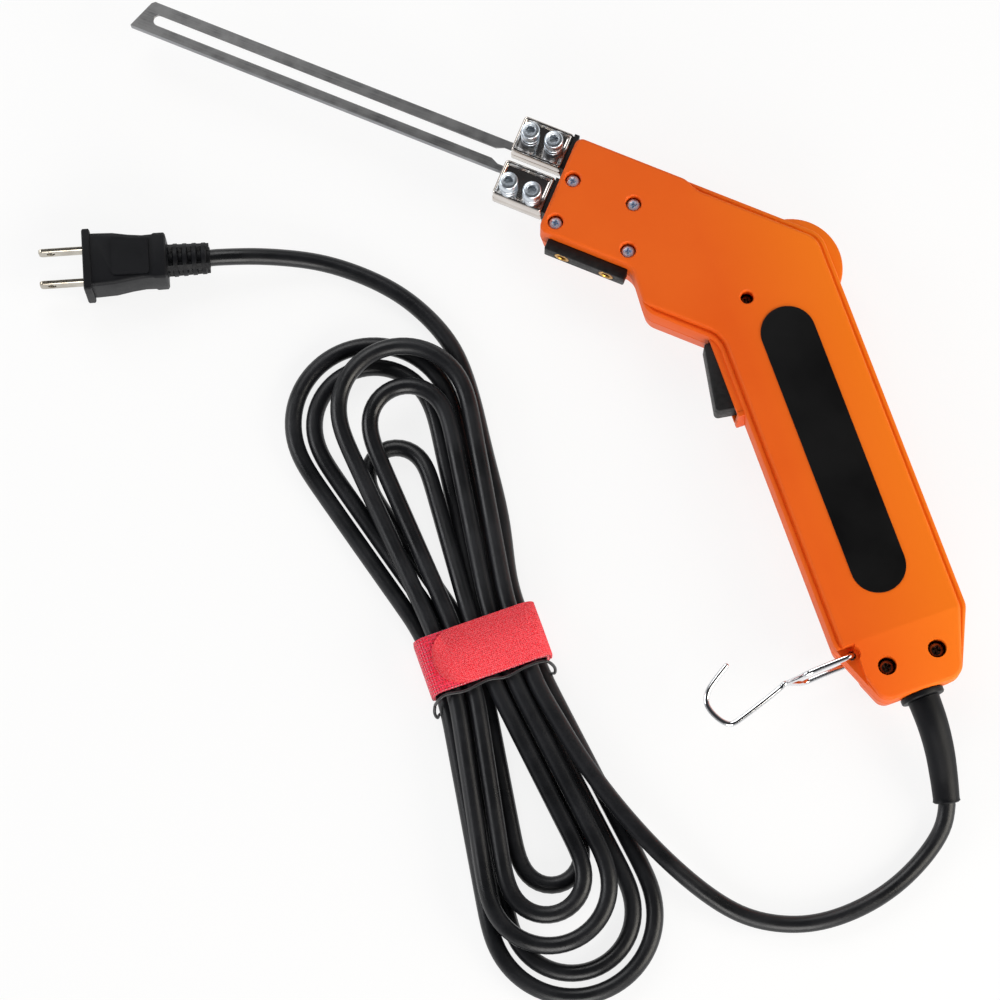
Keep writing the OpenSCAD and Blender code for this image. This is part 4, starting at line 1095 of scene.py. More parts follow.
@dataclass
class Cord:
    """The mains cord: from the strain relief into a hank with ten half loops, and on to the plug.

    A half loop has its side, the lays that it comes in and goes out on, its reach, radius and middle, and the
    layers that it comes in and goes out on.
    """

    plug: Plug
    diameter: float = 6.5
    hank_at: Pair = (41.0, -174.0)
    hank_turn: float = math.radians(-48.0)
    waist: float = 14.0
    lay_step: float = 7.35
    layers: Pair = (3.4, 10.6)
    waist_rise: float = 1.75
    rise_run: float = 46.0
    step: float = 2.4
    sides: int = 14
    half_loops: tuple[tuple[float, ...], ...] = (
        (1, 2.5, -2.5, 103, 31, -1, 0, 0), (-1, -2.5, 1.5, 98, 31, -9, 0, 0), (1, 1.5, -1.5, 102, 23.5, -1, 0, 0),
        (-1, -1.5, 0.5, 97, 23.5, -9, 0, 0), (1, 0.5, -0.5, 80, 12.5, -1, 0, 0), (-1, -0.5, 0, 76, 12, -7.5, 0, 1),
        (1, 0, -1, 88, 15, -6, 1, 1), (-1, -1, 1, 92, 15.5, 3, 1, 1), (1, 1, -2, 91, 23, -6, 1, 1),
        (-1, -2, 2, 98, 25, 3, 1, 1))
    lead_route: tuple[Triple, ...] = (
        (222, -180, 3.6), (216, -195, 3.6), (207, -208, 3.6), (195, -219, 3.6), (183, -225, 3.6), (168, -228, 4),
        (152, -226, 7), (135, -221, 10.8), (119, -214, 11.4), (104, -206, 11.4), (88, -196, 11.6), (73.5, -185, 12.2))
    tail_route: tuple[Triple, ...] = (
        (36, -138, 4.8), (27, -122, 4), (11, -100, 3.6), (-3.5, -80, 3.6), (-18, -66, 3.6), (-42, -56.5, 3.6),
        (-70, -56, 4.4), (-92, -62.6, 7.6))

    def hank_point(self, u: float, v: float, z: float) -> Vector:
        """A point of the hank in mm: u down the hank, v across it."""
        c, s = math.cos(self.hank_turn), math.sin(self.hank_turn)
        return Vector((self.hank_at[0] + u * c - v * s, self.hank_at[1] + u * s + v * c, z))

    def on_hank(self, u: float, v: float, z: float) -> Vector:
        """The row point of a point of the hank."""
        return TOOL.at(*self.hank_point(u, v, z))

    def rise(self, u: float) -> float:
        """How far the runs are lifted towards the strap."""
        return self.waist_rise * max(0.0, 1 - max(0.0, abs(u) - self.waist) / self.rise_run)

    def half_loop(self, row: tuple[float, ...]) -> Loop:
        """One half loop of the hank: out along a run, round an arc and back along another run.

        Args:
            row: One row of half_loops.

        Returns:
            The points of its middle line, in mm.
        """
        side, v_in, v_out, reach, radius, v_mid, low, high = row
        middle, hand = Vector((reach, v_mid)), 1 if v_in > v_out else -1
        ends, touches, turns = [], [], []
        for v, way in ((v_in, hand), (v_out, -hand)):
            end = Vector((self.waist, v * self.lay_step))
            to_middle = middle - end
            w = math.atan2(to_middle.y, to_middle.x) + way * math.asin(radius / to_middle.length)
            run = math.sqrt(to_middle.length_squared - radius * radius)
            ends.append(end)
            touches.append(end + run * Vector((math.cos(w), math.sin(w))))
            turns.append(w + way * math.pi / 2)
        out = [ends[0].lerp(touches[0], i / 12) for i in range(12)]
        arc = [middle + radius * Vector((math.cos(w), math.sin(w)))
               for w in (turns[0] + (turns[1] - turns[0]) * i / 30 for i in range(31))]
        back = [touches[1].lerp(ends[1], i / 12) for i in range(1, 13)]
        z_in, z_out = self.layers[int(low)], self.layers[int(high)]
        points = []
        for i, spot in enumerate(out + arc + back):
            climb = max(0.0, min(1.0, (i - 37) / 17.0))
            points.append(self.hank_point(side * spot.x, spot.y, z_in + (z_out - z_in) * climb + self.rise(spot.x)))
        return points

    def middle_line(self) -> Loop:
        """The whole cord's middle line in mm, from the strain relief to the plug, at an even step.

        Returns:
            The points of the line.
        """
        relief = [Vector((*TOOL.flat(HANDLE_END + along, HANDLE_W / 2 + across), HANDLE_Z + up))
                  for along, across, up in (RELIEF_BEND[-1], RELIEF_BEND[-2])]
        way = (relief[0] - relief[1]).normalized()
        first, last = self.half_loops[0], self.half_loops[-1]
        start = self.hank_point(-self.waist, first[1] * self.lay_step, self.layers[0] + self.waist_rise)
        stop = self.hank_point(self.waist, last[2] * self.lay_step, self.layers[1] + self.waist_rise)
        along = (self.hank_point(1, 0, 0) - self.hank_point(0, 0, 0)) * self.diameter
        lead = [relief[0] - way * 1.5, relief[0] + way * self.diameter / 2, relief[0] + way * self.diameter,
                *map(Vector, self.lead_route), stop + along, stop]
        end = Vector(self.plug.at)
        tail = [start, start - along, *map(Vector, self.tail_route), end - self.plug.way * self.diameter * 1.2, end]
        hank = [point for row in self.half_loops for point in self.half_loop(row)]
        return self.relaxed(smooth_run(lead, 10) + list(reversed(hank)) + smooth_run(tail, 10))

    def relaxed(self, line: Loop) -> Loop:
        """Evens a line's step and eases its kinks, with its ends kept.

        Args:
            line: The line.

        Returns:
            The eased line.
        """
        for _ in range(2):
            line = self.even(line)
            for _ in range(6):
                inner = [(line[i - 1] + line[i] * 2 + line[i + 1]) / 4 for i in range(2, len(line) - 2)]
                line = line[:2] + inner + line[-2:]
        return self.even(line)

    def even(self, line: Loop) -> Loop:
        """The same line with points at an even step.

        Args:
            line: The line.

        Returns:
            The line's new points.
        """
        count = max(2, round(run_length(line) / self.step))
        pace = run_length(line) / count
        points, want, gone = [line[0].copy()], pace, 0.0
        for a, b in zip(line, line[1:]):
            length = (b - a).length
            while length > 0 and want <= gone + length and len(points) < count:
                points.append(a.lerp(b, (want - gone) / length))
                want += pace
            gone += length
        return points + [line[-1].copy()]

    def build(self, on_cord: Sequence[Object]) -> Object:
        """Args:
            on_cord: The pieces that are on the cord; not used.

        Returns:
            The cord.
        """
        line = [TOOL.at(*point) for point in self.middle_line()]
        cord = Shape().tube(line, self.diameter * MM / 2, self.sides).piece("mains_cord", Finishes.RUBBER, 60)
        hand_over(cord, "black_rubber", "cord_lead", "cord_hank", "cord_tail")
        round(run_length(line), 3)
        return cord


@dataclass
class Strap:
    """The red band round the waist of the hank, and the thin wire tie below it."""

    cord: Cord
    width: float = 22.0
    thick: float = 1.4
    bend: float = 3.6
    tip_radius: float = 10.4
    tie_radius: float = 0.6
    tip_steps: tuple[float, ...] = (0.0, 0.15, 0.5, 1.1, 2.0, 3.2, 4.8, 7.0, 10.4, 15.0, 22.0, 30.0)

    @property
    def half(self) -> float:
        """Half the width of the bundle of cord."""
        return 2.5 * self.cord.lay_step + self.cord.diameter / 2 + 0.3

    @property
    def low(self) -> float:
        """The height of the underside of the bundle."""
        return self.cord.layers[0] + self.cord.waist_rise - self.cord.diameter / 2 - 0.25

    @property
    def high(self) -> float:
        """The height of the top of the bundle."""
        return self.cord.layers[1] + self.cord.waist_rise + self.cord.diameter / 2 + 0.25

    def face(self, grow: float) -> Loop:
        """The band's outline across the hank, as v and height in mm."""
        w = self.half + grow
        return outline(box(-w, self.low - grow, w, self.high + grow, self.bend + grow), 8)

    def build(self) -> list[Object]:
        """Makes the band, its tongue and the wire tie.

        Returns:
            The pieces.
        """
        edge, thick = self.width / 2, self.thick
        rim = ((-edge, 0.35), (-edge + 0.3, thick - 0.1), (-edge + 0.8, thick), (0.0, thick), (edge - 0.8, thick),
               (edge - 0.3, thick - 0.1), (edge, 0.35), (edge, 0.05), (0.0, 0.0), (-edge, 0.05))
        loops = [[self.cord.on_hank(u, p.x, p.y) for p in self.face(grow)] for u, grow in rim]
        band = Shape().rings(loops, closed=True).piece("strap_band", Finishes.PILE, 50)
        hand_over(band, "strap_red", "strap")
        tongue = self.build_tongue()
        return [band, tongue, self.build_tie()]

    def tongue_run(self) -> list[tuple[float, float, float, float]]:
        """The tongue's course over the band: v, height, and the way outward.

        Returns:
            One row for each point of the course.
        """
        top, side, radius = self.high + self.thick, self.half + self.thick, self.bend + self.thick
        run = [(3.0 - self.half + x, top, 0.0, 1.0) for x in self.tip_steps]
        for c, s in ((math.cos(w), math.sin(w)) for w in (math.pi / 2 * (1 - k / 12) for k in range(13))):
            run.append((side - radius + radius * c, top - radius + radius * s, c, s))
        return run + [(side, z, 1.0, 0.0) for z in (9.0, 6.0)]

    def build_tongue(self) -> Object:
        """Makes the outer end of the band: rounded at its tip, laid over the top and down one side.

        Returns:
            The tongue.
        """
        run, full, radius, loops = self.tongue_run(), self.width / 2 - 0.3, self.tip_radius, []
        for v, z, out_v, out_z in run:
            gone = v - run[0][0]
            cut = radius - math.sqrt(max(0.0, radius ** 2 - (radius - gone) ** 2)) if gone < radius else 0.0
            half = max(full - cut, 0.5)
            rim = ((-half, 0.02), (-half, 0.55), (-half + 0.3, 0.9), (0.0, 0.95), (half - 0.3, 0.9), (half, 0.55),
                   (half, 0.02), (0.0, 0.02))
            loops.append([self.cord.on_hank(u, v + out_v * lift, z + out_z * lift) for u, lift in rim])
        tongue = Shape().rings(loops).piece("strap_tongue", Finishes.STRAP, 50)
        hand_over(tongue, "strap_red")
        length = sum(math.hypot(b[0] - a[0], b[1] - a[1]) for a, b in zip(run, run[1:]))
        return tongue

    def build_tie(self) -> Object:
        """Makes the thin coated wire that lies slack below the band, with a small loop at each side.

        Returns:
            The tie.
        """
        u, half, top, low = self.width / 2 + 1.6, self.half, self.high + 0.65, 1.0
        spots = [(0.9, -half - 1.2, 9.0), (0.4, -half + 0.8, top - 1.2), (-0.2, -half + 4, top),
                 (0.8, -half / 2, top), (-0.3, -2, top), (0.9, 5, top), (-0.2, half / 2 + 2, top),
                 (-0.2, half - 3, top), (0.6, half - 0.4, top - 1.0), (2.2, half + 1.5, 10.0),
                 (3.4, half + 1.3, 5.0), (2.4, half - 0.6, low), (1.2, half / 2, low), (0.6, 0, low),
                 (1.2, -half / 2, low), (3.0, -half + 0.6, low), (4.6, -half - 1.6, 3.4),
                 (3.2, -half - 2.2, 6.6), (1.2, -half - 1.4, 8.6)]
        path = smooth_run([self.cord.on_hank(u + down, v, z) for down, v, z in spots], 5)
        tie = Shape().tube(path, self.tie_radius * MM, 10).piece("wire_tie_loop", Finishes.TIE, 60)
        return hand_over(tie, "tie_black", "wire_tie")


@dataclass
class Housing:
    """The two halves of the housing, their wells and openings; levels are heights and insets in mm."""

    head_top: float = 19.8
    head_low: float = 20.0
    step_x: float = 38.3
    belly_x: float = 49.5
    belly_low: float = 34.0
    ledge: float = 2.5
    chamfer_w: float = 10.4
    chamfer_l: float = 24.0
    foot_back: float = 1.5
    slope: float = math.tan(math.radians(8.0))
    window: Pair = (75.6, 106.0)
    window_z: Pair = (11.5, 24.5)
    bulge_in: Pair = (5.9, 14.8)
    panel_rise: Pair = (50.0, 44.0)
    flush_from: float = 27.4
    flush_step: float = 0.1
    groove: Pair = (28.25, 0.75)
    tilt_above: float = 26.0
    hook_round: float = 3.1
    hook_bore: float = 1.7
    zinc_wells: tuple[Pair, ...] = ((4.8, 3.2), (29.5, 3.2), (5.0, -14.7), (34.5, -14.6))
    grip_well: Pair = (82.7, -14.7)
    end_wells: Pair = (12.2, 9.8)
    well_radii: Triple = (3.0, 2.5, 3.5)
    near_hollow: tuple[Pair, ...] = ((17.2, 2.6), (25.5, 2.6))
    far_hollow: tuple[Pair, ...] = ((2.5, 6.0), (6.0, 3.4), (18.8, 3.3))
    near_collar: tuple[float, float, Pair] = (18.03, 26.5, (24.5, 26.5))
    far_collar: tuple[float, float, Pair] = (9.5, 17.97, (9.5, 11.5))
    wall_levels: tuple[Pair, ...] = ((18.02, 0.4), (18.35, 0.05), (27.3, 0.03))
    ledge_levels: tuple[Pair, ...] = ((27.62, 0.12), (27.86, 0.35), (27.97, 0.65), (28.0, 0.95), (27.98, 1.45),
                                      (27.6, 1.75), (27.45, 2.1), (27.45, 2.3))
    face_levels: tuple[Pair, ...] = ((28.6, 0.0), (29.15, 0.1), (29.6, 0.35), (29.87, 0.7), (29.97, 1.05),
                                     (FACE_TOP, 1.5))
    far_levels: tuple[Pair, ...] = ((0.0, 5.9), (0.25, 5.2), (0.8, 4.4), (1.6, 3.5), (5.0, 1.6), (17.65, 0.04),
                                    (17.98, 0.4))
    disc_near: tuple[Pair, ...] = ((18.9, 18.12), (19.4, 18.45), (19.4, 21.0), (19.1, 21.7), (18.4, 22.0))
    disc_far: tuple[Pair, ...] = ((18.4, 8.0), (19.1, 8.3), (19.4, 9.0), (19.4, 17.65), (19.0, 17.99))

    def front_x(self, y: float, across: float) -> float:
        """Where a line along the handle crosses a height, in mm."""
        return (TOOL.handle_front + across - y * math.cos(TOOL.handle_angle)) / math.sin(TOOL.handle_angle)

    def foot_and_heel(self, ledge: float) -> tuple[Pair, Pair]:
        """Where the end of the handle starts to narrow, front and back, inside a ledge."""
        start = HANDLE_END - self.chamfer_l
        return TOOL.flat(start - self.foot_back, ledge), TOOL.flat(start, HANDLE_W - ledge)

    def case(self) -> list[Triple]:
        """Corners of the whole outline.

        Returns:
            Corners (x, y, radius) in mm, anticlockwise.
        """
        foot, heel = self.foot_and_heel(0)
        ends = [TOOL.flat(HANDLE_END, across) for across in (self.chamfer_w, HANDLE_W - self.chamfer_w)]
        return [(0, -self.head_low, 3), (self.step_x, -self.head_low, 6), (self.belly_x, -self.belly_low, 8),
                (self.front_x(-self.belly_low, 0), -self.belly_low, 10), (*foot, 8), (*ends[0], 6), (*ends[1], 6),
                (*heel, 8), (self.front_x(self.head_top, HANDLE_W), self.head_top, 10), (0, self.head_top, 3)]

    def panel(self) -> list[Triple]:
        """Corners of the raised face.

        Returns:
            Corners (x, y, radius) in mm, anticlockwise.
        """
        low, top = self.belly_low - self.ledge, self.head_top - self.ledge
        foot, heel = self.foot_and_heel(self.ledge)
        case = self.case()
        share = (low - self.head_low) / (self.belly_low - self.head_low)
        return [case[0], case[1], (self.step_x + (self.belly_x - self.step_x) * share, -low, 6),
                (self.front_x(-low, self.ledge), -low, 12), (*foot, 5), case[5], case[6], (*heel, 6),
                (self.front_x(top, HANDLE_W - self.ledge), top, 9), (self.panel_rise[0], top, 8),
                (self.panel_rise[1], self.head_top, 8), case[9]]

    def near_skin(self) -> Shape:
        """The near half's outer skin: side wall, grooved ledge and raised face in one piece.

        Returns:
            The skin, closed at both ends.
        """
        face, per_corner = outline(self.panel()), 11

        def rim(cut: float) -> Loop:
            """The side wall's outline, matched point by point to the raised face.

            Args:
                cut: How far in from the wall, in mm.

            Returns:
                The points of the outline.
            """
            wall = outline(inset(self.case(), cut))
            level = [Vector((p.x, self.head_top - cut)) for p in face[9 * per_corner:11 * per_corner]]
            return wall[:9 * per_corner] + level + wall[9 * per_corner:]

        base = rim(self.wall_levels[-1][1])
        ledge = [min(1.0, (a - b).length / self.ledge) for a, b in zip(base, face)]
        loops = [[TOOL.at(p.x, p.y, z) for p in rim(cut)] for z, cut in self.wall_levels]
        for k, (z, cut) in enumerate(self.ledge_levels):
            flush = self.flush_from + self.flush_step * k
            loops.append([TOOL.at(*a.lerp(b, w), flush + (z - flush) * w) for a, b, w in zip(base, rim(cut), ledge)])
        loops.append([TOOL.at(p.x, p.y, self.groove[0] - self.groove[1] * w) for p, w in zip(face, ledge)])
        shares = ledge * len(loops) + [0.0] * len(face) * len(self.face_levels)
        skin = Shape().rings(loops + stack(self.panel(), self.face_levels))
        self.tilt_end(skin, shares)
        return skin

    def tilt_end(self, skin: Shape, shares: Sequence[float], spare: float = 1.75) -> None:
        """Slopes the raised face down towards the end of the handle.

        Args:
            skin: The near half's skin.
            shares: For each point, 1 on the ledge and 0 where no ledge is.
            spare: How far the face drops, in mm, before the ledge drops with it.
        """
        keep = skin.bm.verts.layers.float.new("ledge")
        for vert, share in zip(skin.bm.verts, shares):
            vert[keep] = share
        origin = TOOL.grip(HANDLE_END - self.chamfer_l, 0, 0)
        way = (TOOL.grip(1, 0, 0) - TOOL.grip(0, 0, 0)).normalized()
        bmesh.ops.bisect_plane(skin.bm, geom=skin.bm.verts[:] + skin.bm.edges[:] + skin.bm.faces[:],
                               plane_co=origin, plane_no=way)
        for vert in skin.bm.verts:
            if vert.co.z > self.tilt_above * MM:
                drop = max(0.0, (vert.co - origin).dot(way) * self.slope)
                vert.co.z -= drop + (max(0.0, drop - spare * MM) - drop) * vert[keep]

    def openings(self, lower: bool) -> list[Shape]:
        """Cutters for the trigger's window and the hook's corner, in one half.

        Args:
            lower: True for the far half.

        Returns:
            The cutters.
        """
        low, high = (-1.0, 10.0) if lower else (25.0, 31.0)
        pivot = TOOL.grip(*HOOK_PIVOT, 0)
        (t0, t1), (z0, z1) = self.window, self.window_z
        return [Shape().block((t0, -9, z0), (t1, 9, z1), TOOL.grip),
                Shape().block((HANDLE_END - 23.7, -6, low), (HANDLE_END + 3, 7.3, high), TOOL.grip),
                Shape().turned([(self.hook_round, low - 0.01), (self.hook_round, high)], pivot),
                Shape().turned([(self.hook_bore, 6.0), (self.hook_bore, 29.0)], pivot, sides=28)]

    def well_list(self) -> list[tuple[Pair, float]]:
        """Places and radii of the wells, in mm: four for zinc screws, then three for black ones.

        Returns:
            The place and radius of each well.
        """
        (zinc, middle, end), (back, aside) = self.well_radii, self.end_wells
        ends = [(TOOL.flat(HANDLE_END - back, HANDLE_W / 2 + s * aside), end) for s in (-1, 1)]
        return [(spot, zinc) for spot in self.zinc_wells] + [(self.grip_well, middle)] + ends

    def wells(self) -> list[Shape]:
        """Cutters for the screw wells in the upper half."""
        return [Shape().turned([(r, 19.0), (r, 29.55), (r + 0.12, 29.75), (r + 0.5, 30.02), (r + 0.5, 31.0)],
                               TOOL.at(x, y, 0)) for (x, y), r in self.well_list()]

    def collar(self, low: float, high: float, edge: Pair) -> Shape:
        """The raised lip round the trigger, as far as it lies on one half.

        Args:
            low: Height of its lower end.
            high: Height of its upper end.
            edge: Lower and upper height of the bar beside the trigger.

        Returns:
            The lip's three bars.
        """
        (t0, t1), out, shape = self.window, -2.5, Shape()
        for a, b, z0, z1 in ((t0 - 2.0, t0, low, high), (t1, t1 + 2.0, low, high), (t0 - 0.2, t1 + 0.2, *edge)):
            shape.rings([[TOOL.grip(t, c, z) for t, z in ((a + cut, z0 + cut), (a + cut, z1 - cut),
                                                         (b - cut, z1 - cut), (b - cut, z0 + cut))]
                         for c, cut in ((1.5, 0.0), (out + 0.5, 0.0), (out + 0.15, 0.15), (out, 0.5))])
        return shape

    def finish_half(self, name: str, skin: Shape, disc: Sequence[Pair], hollow: Sequence[Pair],
                    cutters: Sequence[Shape], collar: Shape, node: str) -> None:
        """Fuses, hollows and cuts one half, and hands it over.

        Args:
            name: Name of the piece.
            skin: The outer skin.
            disc: Profile of the round bulge at the rear corner.
            hollow: Levels of the hollow, which stops short of the hook's corner.
            cutters: Windows, wells and bores.
            collar: The lip round the trigger.
            node: The solid that the half stands for.
        """
        piece, inside = skin.piece(name, Finishes.SHELL), Shape().rings(stack(self.case(), hollow)).piece("hollow")
        corner = TOOL.at(self.front_x(self.head_top, HANDLE_W) - self.bulge_in[0], self.head_top - self.bulge_in[1], 0)
        carve(piece, [Shape().turned(disc, corner, sides=72)], how=Combine.FUSE)
        carve(inside, [Shape().block((HANDLE_END - 26.5, -2, 0), (HANDLE_END + 2, 10, 30), TOOL.grip)])
        carve(piece, [inside])
        carve(piece, cutters)
        hand_over(join(name, [piece, collar.piece("collar")], Finishes.SHELL), "orange_shell", node)

    def build(self) -> None:
        """Makes both halves."""
        self.finish_half("near_housing", self.near_skin(), self.disc_near, self.near_hollow,
                         self.openings(False) + self.wells(), self.collar(*self.near_collar), "near_shell")
        self.finish_half("far_housing", Shape().rings(stack(self.case(), self.far_levels)), self.disc_far,
                         self.far_hollow, self.openings(True), self.collar(*self.far_collar), "far_shell")


@dataclass
class Fasteners:
    """The screws, washers and inserts; profiles are radii and heights in mm."""

    clamp_x: Pair = (-17.1, -7.6)
    clamp_y: Pair = (14.2, -7.4)
    plate_top: float = 23.0
    bush_h: float = 4.6
    washer_h: float = 1.1
    zinc_seat: float = 24.6
    black_seat: float = 23.0
    zinc_head: Triple = (2.75, 3.3, 20.6)
    black_head: Triple = (3.1, 2.2, 19.0)
    small_head: float = 2.3
    cap_radius: float = 3.5
    cap_knurl: float = 0.06
    socket: float = 1.73
    cap_profile: tuple[Pair, ...] = ((1.6, -15.6), (2.0, -15.2), (2.0, -0.05), (3.3, 0.0), (3.5, 0.15), (3.5, 3.6),
                                     (3.3, 4.02), (3.0, 4.2), (2.05, 4.2), (1.95, 4.1))
    bush_profile: tuple[Pair, ...] = ((3.6, -1.6), (3.6, 1.7), (3.4, 1.9), (3.4, 2.2), (3.6, 2.4), (3.6, 4.4),
                                      (3.4, 4.6), (2.15, 4.6), (2.15, -1.6))
    insert_profile: tuple[Pair, ...] = ((2.85, 0.0), (3.0, 0.2), (3.0, 5.8), (2.8, 6.0), (1.65, 6.0), (1.65, 0.4),
                                        (2.0, 0.0))
    ring_section: tuple[Pair, ...] = ((2.15, -0.38), (3.3, -0.38), (3.4, -0.28), (3.4, 0.28), (3.3, 0.38),
                                      (2.15, 0.38))

    def cross_head(self, name: str, radius: float, height: float, shank: float) -> Object:
        """A pan head with a cross recess, its seat at the origin.

        Args:
            name: Name of the template.
            radius: Radius of the head in mm.
            height: Height of the head in mm.
            shank: Length of the shank in mm.

        Returns:
            The template object.
        """
        profile = [(0.9, -shank), (1.5, -shank + 0.8), (1.5, -0.05), (radius - 0.15, 0.0), (radius, 0.2),
                   (radius, height * 0.45), (radius * 0.93, height * 0.72), (radius * 0.76, height * 0.92),
                   (radius * 0.45, height), (0.05, height)]
        head, cutters, thin = Shape().turned(profile).piece(name), [], 0.42
        for turn in (0.0, math.pi / 2):
            spin, loops = Matrix.Rotation(turn, 3, "Z"), []
            for share, z in ((0.35, height - 1.5), (1.0, height + 0.3)):
                half = radius * 0.62 * share
                loops.append([spin @ (Vector((x, y, z)) * MM) for x, y, _ in box(-half, -thin, half, thin, 0)])
            cutters.append(Shape().rings(loops))
        carve(head, cutters)
        return head

    @staticmethod
    def knurled(profile: Sequence[Pair], sides: int, rim: float, ripple: float, closed: bool = False) -> Shape:
        """A turned form with ribs where its radius is that of the rim.

        Args:
            profile: Pairs (radius, height) in mm.
            sides: Flats round the form.
            rim: The radius that has ribs.
            ripple: How far every second rib stands out.
            closed: True for a ring.

        Returns:
            The shape.
        """
        loops = []
        for size, z in profile:
            radii = [size + (ripple * (k % 2) if size == rim else 0.0) for k in range(sides)]
            loops.append([Vector((r * math.cos(w), r * math.sin(w), z)) * MM for r, w in zip(radii, circle(sides))])
        return Shape().rings(loops, closed)

    def cap_screw(self) -> Object:
        """A cap screw with a knurled head and a six-sided socket, its seat at the origin.

        Returns:
            The template object.
        """
        head = self.knurled(self.cap_profile, 72, self.cap_radius, self.cap_knurl).piece("cap_head")
        carve(head, [self.knurled(((self.socket, 1.8), (self.socket, 5.0)), 6, 0.0, 0.0)], 25)
        return head

    def washer(self) -> Object:
        """A split spring washer, its lower face at the origin.

        Returns:
            The template object.
        """
        turns, gap, loops = 40, math.radians(12), []
        for k in range(turns + 1):
            w = gap + (2 * math.pi - 2 * gap) * k / turns
            way, middle = Vector((math.cos(w), math.sin(w), 0)), 0.55 + 0.15 * (k / turns - 0.5)
            loops.append([(way * r + UP * (middle + h)) * MM for r, h in self.ring_section])
        return Shape().rings(loops).piece("split_ring")

    def build(self, housing: Housing) -> None:
        """Sets all fasteners in place.

        Args:
            housing: The housing, whose wells hold the case screws.
        """
        wells = [well for well, _ in housing.well_list()]
        zinc = [TOOL.at(x, y, self.zinc_seat) for x, y in wells[:4]]
        hand_over(REPEAT.spread("zinc_cross_screws", self.cross_head("zinc", *self.zinc_head), zinc,
                                Finishes.BRIGHT_ZINC, spin=2.0, seed=4), "zinc_steel", "zinc_screws")
        dark = [TOOL.at(x, y, self.black_seat) for x, y in wells[4:]]
        small = self.small_head / self.black_head[0]
        sizes = [Vector((small, small, 0.9)), Vector((1, 1, 1)), Vector((1, 1, 1))]
        hand_over(REPEAT.spread("black_cross_screws", self.cross_head("dark", *self.black_head), dark,
                                Finishes.BLACK_SCREW, sizes=sizes, spin=2.0, seed=7), "black_steel", "black_screws")
        bush = Shape().turned(self.bush_profile, closed=True).piece("bush")
        bush_top = self.plate_top + self.bush_h
        for name, template, z, spin, seed, node in (
                ("cap_screws", self.cap_screw(), bush_top + self.washer_h, 1.0, 2, "clamp_screws"),
                ("screw_bushes", bush, self.plate_top, 0.0, 1, "clamp_bushes"),
                ("split_washers", self.washer(), bush_top, 5.0, 9, "spring_washers")):
            spots = [TOOL.at(x, y, z) for x in self.clamp_x for y in self.clamp_y]
            hand_over(REPEAT.spread(name, template, spots, Finishes.ZINC, spin=spin, seed=seed), "zinc_steel", node)
        insert = self.knurled(self.insert_profile, 40, 3.0, -0.08, closed=True).piece("insert")
        turn = Vector((math.radians(-90), 0, 0))
        spots = [TOOL.at(x, GUIDE_FACE, 20.0) for x in INSERT_X]
        hand_over(REPEAT.spread("brass_inserts", insert, spots, Finishes.BRASS, [turn, turn]), "brass",
                  "guide_inserts")


